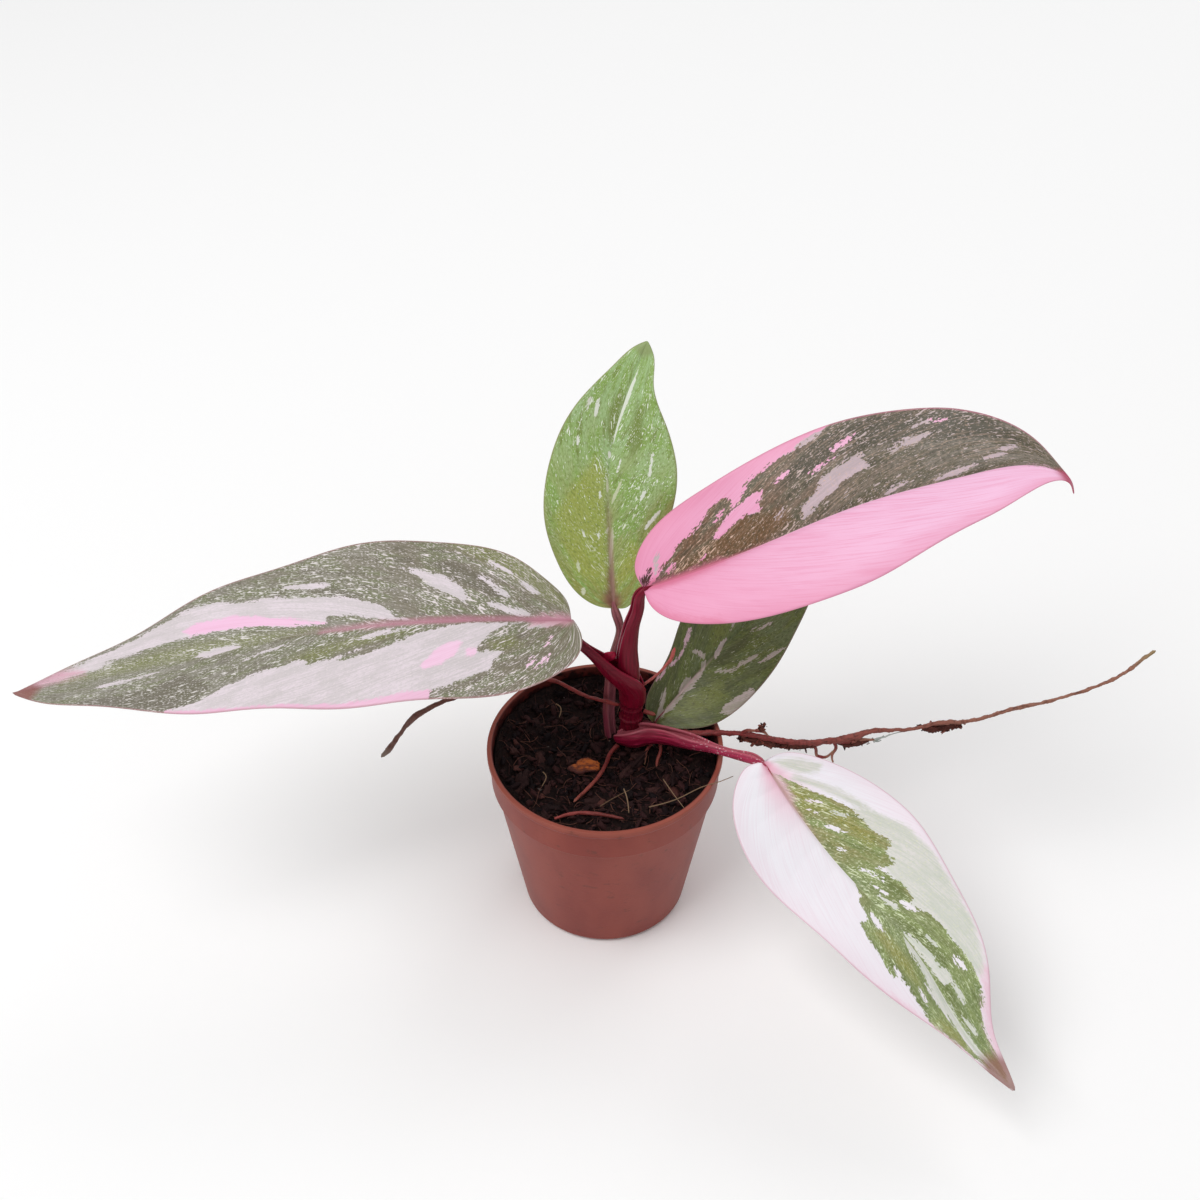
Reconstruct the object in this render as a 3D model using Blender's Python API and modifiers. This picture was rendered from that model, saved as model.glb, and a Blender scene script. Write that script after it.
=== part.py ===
"""Pink princess philodendron, a young plant in a 5.5 cm nursery pot.

Every size below is in millimetres and is turned into metres where a mesh is made.
The origin is the middle of the pot's underside, +Z is up and -Y is the front.
"""
import math

import bmesh
import bpy
import numpy as np
from mathutils import Matrix, Vector

METRES = 0.001
GAP = 0.3

# Pot: thin moulded plastic with a collar below its rim
POT_HEIGHT = 48.0
RIM_RADIUS = 27.5
LIP = 1.2
LIP_DEPTH = 2.1
ROUNDING = 0.35
COLLAR_HEIGHT = 9.0
COLLAR_STEP = 1.0
COLLAR_TAPER = 0.2
BASE_RADIUS = 19.5
WALL = 0.8
FLOOR = 1.0
DRAIN_HOLES = 4
DRAIN_RADIUS = 2.5
DRAIN_CIRCLE = 11.0
ROUND_STEPS = 48

# Soil: a plug of peat that ends a little below the rim
SOIL_LEVEL = 42.5
SOIL_RINGS = 9
SOIL_SWELL = 0.27
SOIL_HEAP = 0.5
SOIL_HEAP_WIDTH = 7.7

# Stem: a short upright piece with leaf scars, rooted in the soil
STEM_PATH = [(5.2, 7.3, 27), (5.9, 7.2, 38), (6.1, 7.2, 46), (6.1, 7.2, 52), (6.2, 7.1, 56)]
STEM_RADII = [1.6, 2.4, 2.6, 2.55, 2.7]

# Leaf blades
BLADE_THICKNESS = 0.7
BLADE_ROWS = 22
BLADE_COLUMNS = 4
VEIN_LAG = 1.4
VEIN_SWEEP = 1.6

# Each half outline runs from the leaf's base round its lobe to its tip: distance along the
# midrib, then distance out from it. "left" is the left half seen from the base, face up.
LEAVES = {
    "left": {
        "midrib": [(-7.5, 5, 83), (-38.5, 4, 83.5), (-70, 1, 81.5), (-100.5, -3.5, 76.5), (-131, -8, 73)],
        "face_at_base": (0, -0.22, 0.97),
        "face_at_tip": (-0.1, -0.12, 0.98),
        "fold": 14,
        "curl": 0.65,
        "left": [(-2, 5), (-1.5, 11), (6, 18.5), (21, 22.3), (44.5, 23.5), (68, 21), (90.5, 15.5),
                 (110, 8.5), (119.5, 4)],
        "right": [(1, 4.5), (5, 9), (12.5, 15), (27, 20.5), (48.5, 21), (70.5, 17.5), (91.5, 11.5),
                  (109.5, 4.5), (118.5, 1.5)],
        "rib": 1.0,
        "wave": (0.7, 34, 0.4),
        "colour": (0.16, 0.20, 0.12),
    },
    "upright": {
        "midrib": [(2, 14.5, 78), (1, 21, 96.5), (1.5, 25.5, 115.5), (5.5, 29.5, 129.5), (9, 33, 138.2)],
        "face_at_base": (0, -0.95, 0.25),
        "face_at_tip": (0, -0.9, 0.43),
        "fold": 10,
        "curl": 0.5,
        "left": [(0.5, 2.5), (2, 5.5), (5.5, 9), (13, 12.5), (25, 14.5), (36.5, 13), (48, 9.5),
                 (57.5, 5), (62, 2.5)],
        "right": [(0, 2.5), (2.5, 5), (6.5, 7.5), (14, 11), (26, 14.5), (38, 14.5), (48.5, 10.5),
                  (57.5, 4.5), (62, 1.5)],
        "rib": 0.8,
        "wave": (0.5, 26, 1.2),
        "colour": (0.18, 0.27, 0.07),
    },
    "pink": {
        "midrib": [(8.5, 7, 90.5), (32.5, 8.5, 101), (55, 10, 112), (77.5, 9.5, 120.5), (93.5, 7.5, 123.5),
                   (97.6, 6.4, 121.3), (98.7, 5.8, 118)],
        "face_at_base": (0, -0.6, 0.8),
        "face_at_tip": (0.12, -0.46, 0.88),
        "fold": 16,
        "curl": 0.7,
        "left": [(-0.5, 4), (2, 8.5), (8.5, 13), (20.5, 16), (39, 18.5), (57, 18), (75, 14.5), (88, 5.5),
                 (94, 1)],
        "right": [(0.5, 4), (3, 8), (9.5, 12), (21.5, 15.5), (39, 17.5), (56.5, 16.5), (74, 11.5),
                  (88.5, 6.5), (95, 2)],
        "rib": 0.9,
        "wave": (0.5, 30, 2.0),
        "colour": (0.78, 0.32, 0.45),
    },
    "back": {
        "midrib": [(11.5, 7, 48), (23.5, 17, 57), (37, 28, 64.5), (52, 39, 71)],
        "face_at_base": (0.35, -0.42, 0.84),
        "face_at_tip": (0.3, -0.45, 0.84),
        "fold": 20,
        "curl": 0.6,
        "left": [(0.5, 3), (3, 5.5), (8, 7), (15, 9), (22, 12.5), (31, 13.5), (41, 10.5), (50, 5), (54, 2)],
        "right": [(1, 2.5), (3.5, 6), (7, 9.5), (14, 12.5), (23.5, 13), (33, 11.5), (43, 8), (50.5, 4),
                  (54, 1.5)],
        "rib": 0.6,
        "wave": (0.6, 22, 0.9),
        "colour": (0.10, 0.16, 0.06),
    },
    "white": {
        "midrib": [(36, -10, 53), (52, -29, 40), (68.5, -49.5, 33), (79, -66.5, 24.5), (87, -76, 21.5)],
        "face_at_base": (0.12, -0.3, 0.94),
        "face_at_tip": (0.22, -0.34, 0.91),
        "fold": 12,
        "curl": 0.5,
        "left": [(0.5, 4), (3, 8), (9, 13.5), (19.5, 19.5), (30, 21), (46.5, 18), (63.5, 12.5), (78, 5.5),
                 (85, 2.5)],
        "right": [(-1, 4), (0.5, 8.5), (5.5, 14), (16.5, 18), (31, 17), (47.5, 15.6), (64, 10),
                  (77.5, 3), (85, 1)],
        "rib": 0.8,
        "wave": (0.6, 30, 0.0),
        "colour": (0.78, 0.70, 0.66),
    },
}

# Leaf stalks: x, y, z, radius, half opening of the sheath in degrees, edge thickness, and
# the floor of the groove as a share of the radius. open_at_base and open_at_top point out
# of the groove, whose floor is never narrower than twice NARROWEST_FLOOR.
PETIOLE_STEPS = 13
NARROWEST_FLOOR = 0.2
PETIOLES = {
    "pink": {
        "path": [(6.2, 7.1, 56.6, 1.9, 30, 0.8, 0.7), (6.0, 7.2, 60.5, 2.0, 30, 0.8, 0.7),
                 (5.6, 7.3, 63.6, 2.4, 28, 0.8, 0.7), (5.1, 7.5, 67.2, 2.65, 28, 0.8, 0.65),
                 (5.0, 7.7, 71, 2.4, 28, 0.8, 0.65), (5.4, 7.8, 75.3, 2.05, 30, 0.7, 0.65),
                 (6.1, 7.6, 79.9, 1.8, 32, 0.6, 0.6), (7.1, 7.4, 84.4, 1.6, 36, 0.5, 0.6),
                 (8.3, 7, 89.9, 1.0, 40, 0.4, 0.6)],
        "open_at_base": (-1, -0.3, 0),
        "open_at_top": (-1, -0.3, 0),
    },
    "left": {
        "path": [(6.4, 6.9, 56, 3.0, 25, 0.7, -0.76), (6.4, 6.9, 59.5, 3.15, 26, 0.7, -0.76),
                 (5.2, 6.4, 62.8, 3.1, 38, 0.7, -0.7), (2.4, 5.7, 66.4, 2.75, 52, 0.7, -0.5),
                 (-0.6, 5.1, 70.2, 1.95, 52, 0.6, 0), (-3.4, 4.6, 73.6, 1.35, 42, 0.5, 0.5),
                 (-5.6, 4.6, 77.4, 1.08, 40, 0.45, 0.6), (-7.4, 5, 82.2, 1.0, 40, 0.4, 0.6)],
        "open_at_base": (1, 0.15, 0),
        "open_at_top": (0.8, 0.2, 0.6),
    },
    "upright": {
        "path": [(1.0, 8.4, 30, 1.0, 40, 0.45, 0.6), (1.4, 8.4, 42, 1.35, 42, 0.5, 0.5),
                 (0.9, 9.2, 50, 1.42, 42, 0.5, 0.5), (1.2, 10.2, 57, 1.35, 42, 0.5, 0.5),
                 (1.7, 11.4, 64.1, 1.15, 40, 0.5, 0.55), (2.9, 12.7, 69, 1.0, 40, 0.45, 0.6),
                 (3.4, 13.6, 72.4, 0.95, 40, 0.4, 0.6), (2.2, 14.5, 77.4, 0.9, 40, 0.4, 0.6)],
        "open_at_base": (0.8, -0.6, 0),
        "open_at_top": (0, -1, 0.1),
    },
    "back": {
        "path": [(8.4, 11.2, 34, 0.9, 40, 0.4, 0.6), (8.9, 11.0, 41, 1.1, 40, 0.45, 0.6),
                 (9.7, 9.6, 45, 1.0, 40, 0.4, 0.6), (11, 7.6, 47.1, 0.8, 40, 0.35, 0.6)],
        "open_at_base": (-0.6, -0.8, 0.2),
        "open_at_top": (-0.4, -0.4, 0.8),
    },
    "white": {
        "path": [(2.7, 4.2, 46.6, 1.5, 60, 0.5, 0.3), (5.8, 3.4, 47.9, 2.9, 62, 0.6, 0.2),
                 (10.5, 2.7, 49.1, 2.5, 40, 0.7, 0.1), (16, 0.5, 50.2, 2.1, 42, 0.7, 0.2),
                 (20.5, -1.9, 51, 1.9, 55, 0.6, 0.1), (23.5, -3.6, 51.4, 1.4, 45, 0.5, 0.5),
                 (30, -6.9, 52.1, 1.15, 40, 0.5, 0.55), (35, -9.4, 52.5, 1.05, 40, 0.4, 0.6)],
        "open_at_base": (0, 0.3, 0.95),
        "open_at_top": (0.1, 0.2, 0.97),
    },
}

# Aerial roots: the points that each passes through and its radius at each of them
ROOTS = {
    "root_long": {
        "path": [(9.2, 6, 45.6), (14, 5.4, 46.6), (20.5, 4.0, 47.8), (27, 2.7, 49.1), (31, 1.3, 50.3),
                 (36.6, -1.2, 50.8), (44.5, -2.9, 51.2), (56, -2, 51.8), (68, 0.9, 53), (78.5, 2.4, 53.4),
                 (91.5, 5.3, 53.8), (106, 9.4, 55.3), (118.5, 13.6, 56.8), (130, 20.2, 59)],
        "radii": [0.8, 0.75, 0.7, 0.75, 0.8, 0.9, 1.2, 1.15, 0.8, 0.95, 0.55, 0.5, 0.55, 0.35],
        "rootlets": [
            [(49, -2.6, 51.4), (50, -4.6, 50.2), (51.3, -6.2, 49.4)],
            [(52.4, -2.5, 51.6), (52.8, -4.4, 50.5), (52.6, -6, 49.6)],
            [(34.5, -0.6, 50.8), (34.8, 1.2, 52.3), (37, 2.6, 53.3)],
        ],
        "rootlet_radius": 0.45,
    },
    "root_left": {
        "path": [(3.1, 6.2, 55.1), (0.9, 6.4, 55.7), (-0.7, 7.4, 55.3), (-3.3, 9.5, 54.1),
                 (-6.7, 12.2, 53.4), (-12, 14.6, 54.6), (-20.2, 13.9, 55.5), (-29, 10.2, 56.3),
                 (-38, 6.5, 56), (-43, 4.5, 53), (-48.3, 3.5, 47), (-52.8, 1.9, 42)],
        "radii": [0.6, 0.6, 0.6, 0.62, 0.65, 0.7, 0.75, 0.8, 0.8, 0.95, 0.8, 0.4],
    },
    "root_rising": {
        "path": [(9.6, 8.6, 59.6), (12.3, 11, 61), (14.6, 12.9, 61.9), (15.8, 13.9, 63.2),
                 (16.3, 14.8, 64.8)],
        "radii": [0.5, 0.55, 0.66, 0.64, 0.35],
    },
    "root_stub": {
        "path": [(9.0, 6.2, 52.9), (10.3, 5.8, 52.8), (11.8, 5.2, 52.7)],
        "radii": [0.5, 0.5, 0.35],
    },
    "root_front": {
        "path": [(3.0, 3.0, 44.9), (1.7, 1.7, 44.3), (0, -2.8, 43.9), (-3.9, -9.5, 43.7),
                 (-7.2, -13.6, 43.4)],
        "radii": [0.6, 0.6, 0.6, 0.55, 0.3],
    },
    "root_loop": {
        "path": [(-11.5, -18.5, 43.2), (-7.3, -17.2, 43.5), (-2.1, -17.3, 43.5), (4.3, -18.6, 43.2)],
        "radii": [0.3, 0.45, 0.45, 0.3],
    },
    "root_curl": {
        "path": [(12.8, 2.4, 46.5), (13.0, 1.2, 44.9), (12.4, -0.4, 43.8), (12, -2.4, 43.2)],
        "radii": [0.4, 0.4, 0.38, 0.25],
    },
    "root_thin": {
        "path": [(11.0, 2.4, 45.9), (10.1, 2, 45), (9.4, 0.6, 44), (9.2, -1.7, 43.2)],
        "radii": [0.35, 0.35, 0.35, 0.25],
    },
}

# Bark chip: a flat flake lying on the peat, turned a little about the upright line
CHIP_PLACE = (-4.4, -2.8, 43.4)
CHIP_SIZE = (7.4, 3.6, 1.0)
CHIP_TURN = 12
CHIP_LOBES = 0.16
CHIP_NOTCHES = 0.1

# Colours of the other pieces
TERRACOTTA = (0.42, 0.13, 0.07)
PEAT = (0.020, 0.012, 0.009)
MAROON = (0.15, 0.008, 0.022)
ROOT_RED = (0.26, 0.05, 0.035)
BARK = (0.42, 0.14, 0.03)


def clear_scene():
    for thing in list(bpy.data.objects):
        bpy.data.objects.remove(thing, do_unlink=True)


def collection(name):
    group = bpy.data.collections.new(name)
    bpy.context.scene.collection.children.link(group)
    return group


def move_to(item, group):
    for owner in list(item.users_collection):
        owner.objects.unlink(item)
    group.objects.link(item)


def material(name, colour, roughness, metallic=0.0):
    finish = bpy.data.materials.new(name)
    finish.use_nodes = True
    shader = finish.node_tree.nodes["Principled BSDF"]
    shader.inputs["Base Color"].default_value = (*colour, 1.0)
    shader.inputs["Roughness"].default_value = roughness
    shader.inputs["Metallic"].default_value = metallic
    finish.diffuse_color = (*colour, 1.0)
    return finish


def add_mesh(name, points, faces, group):
    """Make an object from points in millimetres."""
    mesh = bpy.data.meshes.new(name)
    mesh.from_pydata([tuple(METRES * value for value in point) for point in points], [], faces)
    item = bpy.data.objects.new(name, mesh)
    group.objects.link(item)
    shell = bmesh.new()
    shell.from_mesh(mesh)
    bmesh.ops.recalc_face_normals(shell, faces=shell.faces)
    shell.to_mesh(mesh)
    shell.free()
    mesh.shade_smooth()
    return item


def hide_guide(item):
    item.hide_render = True
    item.display_type = "WIRE"


def cut(item, cutter):
    """Take the cutter's shape out of an item, with the exact solver."""
    hide_guide(cutter)
    step = item.modifiers.new("Cut " + cutter.name, "BOOLEAN")
    step.operation = "DIFFERENCE"
    step.object = cutter


def apply_modifiers(item):
    seen = item.evaluated_get(bpy.context.evaluated_depsgraph_get())
    mesh = bpy.data.meshes.new_from_object(seen)
    item.modifiers.clear()
    item.data = mesh


def smooth_line(points, count):
    """Read evenly spaced points from a natural cubic spline through the given ones."""
    knots = np.array(points, float)
    steps = np.linalg.norm(np.diff(knots[:, :3], axis=0), axis=1)
    place = np.concatenate([[0.0], np.cumsum(steps)])
    last = len(knots) - 1
    system = np.zeros((last + 1, last + 1))
    system[0, 0] = system[last, last] = 1.0
    target = np.zeros_like(knots)
    for i in range(1, last):
        system[i, i - 1:i + 2] = (steps[i - 1], 2 * (steps[i - 1] + steps[i]), steps[i])
        slope_after = (knots[i + 1] - knots[i]) / steps[i]
        slope_before = (knots[i] - knots[i - 1]) / steps[i - 1]
        target[i] = 6 * (slope_after - slope_before)
    bend = np.linalg.solve(system, target)
    wanted = np.linspace(0, place[-1], count)
    span = np.clip(np.searchsorted(place, wanted, side="right") - 1, 0, last - 1)
    before = (wanted - place[span])[:, None]
    after = (place[span + 1] - wanted)[:, None]
    width = steps[span][:, None]
    curve = (bend[span] * after**3 + bend[span + 1] * before**3) / (6 * width)
    curve += (knots[span] / width - bend[span] * width / 6) * after
    curve += (knots[span + 1] / width - bend[span + 1] * width / 6) * before
    return curve


def unit(vectors):
    return vectors / np.linalg.norm(vectors, axis=-1, keepdims=True)


def across(vectors, along):
    """Keep the part of each vector that is square to the direction along."""
    return unit(vectors - along * np.sum(vectors * along, axis=-1, keepdims=True))


class BladeForm:
    """Bends a flat leaf outline over its midrib, folds it to a valley and curls it down."""

    def __init__(self, leaf):
        self.line = smooth_line(leaf["midrib"], 161)
        steps = np.linalg.norm(np.diff(self.line, axis=0), axis=1)
        self.place = np.concatenate([[0.0], np.cumsum(steps)])
        self.length = self.place[-1]
        self.along = unit(np.gradient(self.line, self.place, axis=0))
        share = (self.place / self.length)[:, None]
        base_face = unit(np.array(leaf["face_at_base"], float))
        tip_face = unit(np.array(leaf["face_at_tip"], float))
        self.up = across(base_face * (1 - share) + tip_face * share, self.along)
        self.fold = math.radians(leaf["fold"])
        self.curl = math.radians(leaf["curl"])
        self.wave, self.wave_length, self.wave_start = leaf["wave"]

    def read(self, table, x):
        return np.stack([np.interp(x, self.place, table[:, i]) for i in range(3)], axis=-1)

    def bend(self, x, y, side, outward):
        """Give points and upward normals for flat places x along and y out from the midrib."""
        held = np.clip(x, 0, self.length)
        along = unit(self.read(self.along, held))
        up = across(self.read(self.up, held), along)
        left = np.cross(up, along)
        angle = self.fold - self.curl * y
        reach = (math.sin(self.fold) - np.sin(angle)) / self.curl
        rise = (np.cos(angle) - math.cos(self.fold)) / self.curl
        phase = 2 * math.pi * x / self.wave_length + self.wave_start + side
        rise = rise + self.wave * np.sin(phase) * outward**3
        point = self.read(self.line, held) + along * (x - held)[:, None]
        point = point + side * left * reach[:, None] + up * rise[:, None]
        normal = up * np.cos(angle)[:, None] - side * left * np.sin(angle)[:, None]
        return point, normal


def blade_rows(leaf, form, rows, columns):
    """List each row of the blade from its left margin to its right one, along a side vein."""
    base, tip = (0.0, 0.0), (form.length, 0.0)
    left = smooth_line([base, *leaf["left"], tip], rows + 1)
    right = smooth_line([base, *leaf["right"], tip], rows + 1)
    found = []
    for i in range(1, rows):
        start = form.length * (i / rows)**VEIN_LAG
        out = np.linspace(1, 0, columns + 1)
        x_left = start + (left[i, 0] - start) * out**VEIN_SWEEP
        x_right = start + (right[i, 0] - start) * out[:-1][::-1]**VEIN_SWEEP
        points, normals = form.bend(x_left, left[i, 1] * out, 1, out)
        more, more_normals = form.bend(x_right, right[i, 1] * out[:-1][::-1], -1, out[:-1][::-1])
        found.append((np.vstack([points, more]), np.vstack([normals, more_normals])))
    return found


def blade(name, leaf, group):
    """A solid leaf blade: an upper and a lower skin split alike, with a rib under the midrib."""
    form = BladeForm(leaf)
    rows = blade_rows(leaf, form, BLADE_ROWS, BLADE_COLUMNS)
    half = BLADE_THICKNESS / 2
    wide = 2 * BLADE_COLUMNS + 1
    upper, lower = [], []
    for i, (points, normals) in enumerate(rows):
        rib = np.zeros((wide, 1))
        rib[BLADE_COLUMNS] = leaf["rib"] * (1 - 0.8 * (i + 1) / BLADE_ROWS)
        upper.extend(points + normals * half)
        lower.extend(points - normals * (half + rib))
    ends, end_normals = form.bend(np.array([0.0, form.length]), np.zeros(2), 1, np.zeros(2))
    upper.extend(ends + end_normals * half)
    lower.extend(ends - end_normals * half)
    count = len(upper)
    base, tip = count - 2, count - 1
    skin, rim = [], []
    for i in range(len(rows) - 1):
        for j in range(wide - 1):
            a = i * wide + j
            skin += [(a, a + 1, a + wide + 1), (a, a + wide + 1, a + wide)]
    final = (len(rows) - 1) * wide
    for j in range(wide - 1):
        skin += [(base, j + 1, j), (tip, final + j, final + j + 1)]
    left_edge = [base, *range(0, final + 1, wide), tip]
    right_edge = [base, *range(wide - 1, final + wide, wide), tip]
    for edge in (left_edge, right_edge[::-1]):
        for a, b in zip(edge[:-1], edge[1:]):
            rim += [(a, b, b + count), (a, b + count, a + count)]
    below = [(c + count, b + count, a + count) for a, b, c in skin]
    item = add_mesh(name, upper + lower, skin + below + rim, group)
    item.data.materials.append(material(name, leaf["colour"], 0.38))
    return item


def stalk_section(radius, opening, edge, floor, count=7):
    """A round stalk with a groove, or an open sheath: its outer line, then its inner one."""
    turn = np.radians(np.linspace(90 + opening, 450 - opening, count + 1))
    outer = radius * np.stack([np.cos(turn), np.sin(turn)], axis=1)
    inside = radius - edge
    inner = inside * np.stack([np.cos(turn), np.sin(turn)], axis=1)
    level = floor * radius
    if level > -inside:
        low = inner[:, 1] < level
        half_floor = math.sqrt(max(inside**2 - level**2, NARROWEST_FLOOR**2))
        inner[low, 0] = np.linspace(-half_floor, half_floor, np.count_nonzero(low))
        inner[low, 1] = level
    return outer, inner


def stalk(name, plan, group, grow=0.0):
    """Loft unlike sections along a path, from a sheath that clasps the stem to a slim stalk."""
    rows = smooth_line(plan["path"], PETIOLE_STEPS)
    centres = rows[:, :3]
    along = unit(np.gradient(centres, axis=0))
    share = np.linspace(0, 1, PETIOLE_STEPS)[:, None]
    opening = unit(np.array(plan["open_at_base"], float)) * (1 - share)
    opening = opening + unit(np.array(plan["open_at_top"], float)) * share
    up = across(opening, along)
    side = np.cross(along, up)
    points, faces = [], []
    for i, (radius, half_opening, edge, floor) in enumerate(rows[:, 3:]):
        outer, inner = stalk_section(radius + grow, half_opening, edge + grow, floor)
        ring = np.vstack([outer, inner[::-1]])
        points.extend(centres[i] + ring[:, :1] * side[i] + ring[:, 1:] * up[i])
    size = len(ring)
    for i in range(PETIOLE_STEPS - 1):
        for j in range(size):
            a, b = i * size + j, i * size + (j + 1) % size
            faces.append((a, b, b + size, a + size))
    for start in (0, (PETIOLE_STEPS - 1) * size):
        for j in range(size // 2 - 1):
            far = size - 1 - j
            faces.append((start + j, start + j + 1, start + far - 1, start + far))
    return add_mesh(name, points, faces, group)


def tube(name, path, radii, group, sides=6, extra=0.0):
    """A tapering rod along a smooth line, as a curve with filled caps."""
    count = max(6, round(np.sum(np.linalg.norm(np.diff(np.array(path), axis=0), axis=1)) / 3))
    shaped = smooth_line([(*point, radius) for point, radius in zip(path, radii)], count)
    curve = bpy.data.curves.new(name, "CURVE")
    curve.dimensions = "3D"
    curve.bevel_depth = METRES
    curve.bevel_resolution = (sides - 4) // 2
    curve.use_fill_caps = True
    line = curve.splines.new("POLY")
    line.points.add(count - 1)
    for point, (x, y, z, radius) in zip(line.points, shaped):
        point.co = (x * METRES, y * METRES, z * METRES, 1)
        point.radius = radius + extra
    item = bpy.data.objects.new(name, curve)
    group.objects.link(item)
    return item


def as_mesh(item):
    """Turn a curve object into a closed mesh object with welded caps."""
    seen = item.evaluated_get(bpy.context.evaluated_depsgraph_get())
    mesh = bpy.data.meshes.new_from_object(seen)
    shell = bmesh.new()
    shell.from_mesh(mesh)
    bmesh.ops.remove_doubles(shell, verts=shell.verts, dist=1e-6)
    bmesh.ops.recalc_face_normals(shell, faces=shell.faces)
    shell.to_mesh(mesh)
    shell.free()
    solid = bpy.data.objects.new(item.name + "_solid", mesh)
    solid.matrix_world = item.matrix_world
    item.users_collection[0].objects.link(solid)
    name = item.name
    bpy.data.objects.remove(item, do_unlink=True)
    solid.name = name
    return solid


def turned(name, profile, group):
    """Spin a profile of (radius, height) points about the Z axis."""
    item = add_profile(name, profile, group)
    spin = item.modifiers.new("Spin", "SCREW")
    spin.axis = "Z"
    spin.steps = ROUND_STEPS
    spin.render_steps = ROUND_STEPS
    spin.use_merge_vertices = True
    spin.merge_threshold = 0.00001
    return item


def add_profile(name, profile, group):
    mesh = bpy.data.meshes.new(name)
    points = [(radius * METRES, 0, height * METRES) for radius, height in profile]
    mesh.from_pydata(points, [(i, i + 1) for i in range(len(points) - 1)], [])
    item = bpy.data.objects.new(name, mesh)
    group.objects.link(item)
    return item


def collar_foot():
    return POT_HEIGHT - COLLAR_HEIGHT


def wall_radius(height):
    """The pot's outer radius below its collar."""
    top = RIM_RADIUS - LIP / 2 - COLLAR_STEP
    return BASE_RADIUS + (top - BASE_RADIUS) * height / collar_foot()


def pot(group, guides):
    """The pot: one turned wall with a lip, a collar, a flat floor and drain holes."""
    foot = collar_foot()
    collar = RIM_RADIUS - LIP / 2
    inner_collar = collar - WALL
    profile = [
        (0, FLOOR),
        (wall_radius(FLOOR) - WALL, FLOOR),
        (wall_radius(foot) - WALL, foot),
        (inner_collar, foot + COLLAR_STEP),
        (inner_collar, POT_HEIGHT - LIP_DEPTH),
        (RIM_RADIUS - LIP, POT_HEIGHT - ROUNDING),
        (RIM_RADIUS - LIP + ROUNDING, POT_HEIGHT),
        (RIM_RADIUS - ROUNDING, POT_HEIGHT),
        (RIM_RADIUS, POT_HEIGHT - ROUNDING),
        (RIM_RADIUS, POT_HEIGHT - LIP_DEPTH + LIP / 2),
        (collar, POT_HEIGHT - LIP_DEPTH),
        (collar - COLLAR_TAPER, foot),
        (wall_radius(foot), foot - ROUNDING),
        (wall_radius(FLOOR), FLOOR),
        (BASE_RADIUS - WALL, 0),
        (0, 0),
    ]
    item = turned("pot", profile, group)
    item.data.materials.append(material("pot", TERRACOTTA, 0.45))
    for i in range(DRAIN_HOLES):
        angle = 2 * math.pi * (i + 0.5) / DRAIN_HOLES
        place = (DRAIN_CIRCLE * math.cos(angle) * METRES, DRAIN_CIRCLE * math.sin(angle) * METRES, 0)
        bpy.ops.mesh.primitive_cylinder_add(vertices=16, radius=DRAIN_RADIUS * METRES,
                                            depth=4 * FLOOR * METRES, location=place)
        drill = bpy.context.object
        drill.name = f"drain_{i + 1}"
        move_to(drill, guides)
        cut(item, drill)
    return item


def soil_height(x, y):
    """The peat's surface: low swells, with a shallow heap round the stem."""
    swell = math.sin(0.55 * x + 1.1) * math.cos(0.48 * y - 0.4) + 0.7 * math.sin(0.93 * x - 0.81 * y)
    stem_x, stem_y, _ = STEM_PATH[1]
    away = math.hypot(x - stem_x, y - stem_y) / SOIL_HEAP_WIDTH
    return SOIL_LEVEL + SOIL_SWELL * swell + SOIL_HEAP * math.exp(-away**2)


def soil(group, holes):
    """The peat plug: a turned body whose top is moved to the surface formula, with stem holes."""
    foot = collar_foot()
    top_radius = RIM_RADIUS - LIP / 2 - WALL - GAP
    rings = [(top_radius * (1 - i / SOIL_RINGS), SOIL_LEVEL) for i in range(SOIL_RINGS)]
    profile = [(0, SOIL_LEVEL), *rings[::-1]]
    step_lift = GAP / 2
    profile += [
        (top_radius, foot + COLLAR_STEP + step_lift),
        (wall_radius(foot) - WALL - GAP, foot + step_lift),
        (wall_radius(FLOOR) - WALL - GAP, FLOOR + GAP),
        (0, FLOOR + GAP),
    ]
    item = turned("soil", profile, group)
    apply_modifiers(item)
    for corner in item.data.vertices:
        if corner.co.z > (foot + 2 * COLLAR_STEP) * METRES:
            corner.co.z = soil_height(corner.co.x / METRES, corner.co.y / METRES) * METRES
    item.data.materials.append(material("soil", PEAT, 0.95))
    for hole in holes:
        cut(item, hole)
    item.data.shade_smooth()
    return item


def stem(group):
    item = as_mesh(tube("stem", STEM_PATH, STEM_RADII, group, sides=12))
    item.data.materials.append(material("stem", MAROON, 0.45))
    return item


def lengthened(path):
    """Add the gap to both ends of a path, so that a hole cut with it is longer than what it holds."""
    first, second = np.array(path[0], float), np.array(path[1], float)
    last, before = np.array(path[-1], float), np.array(path[-2], float)
    longer = [list(point) for point in path]
    longer[0][:3] = first[:3] + unit(first[:3] - second[:3]) * GAP
    longer[-1][:3] = last[:3] + unit(last[:3] - before[:3]) * GAP
    return longer


def petioles(group, stem_room, guides):
    """The five leaf stalks; sheaths that clasp a neighbour are cut clear of it."""
    made = {}
    for leaf_name, plan in PETIOLES.items():
        item = stalk("petiole_" + leaf_name, plan, group)
        item.data.materials.append(material("petiole_" + leaf_name, MAROON, 0.4))
        made[leaf_name] = item
    cut(made["left"], room_for_stalk("pink", guides))
    for leaf_name in ("left", "white"):
        cut(made[leaf_name], stem_room)


def room_for_stalk(leaf_name, guides):
    """A plain round cutter that clears the lower part of a leaf stalk."""
    foot = PETIOLES[leaf_name]["path"][:6]
    path = lengthened([row[:3] for row in foot])
    return as_mesh(tube("room_for_" + leaf_name, path, [row[3] for row in foot], guides, 14, GAP))


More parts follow.
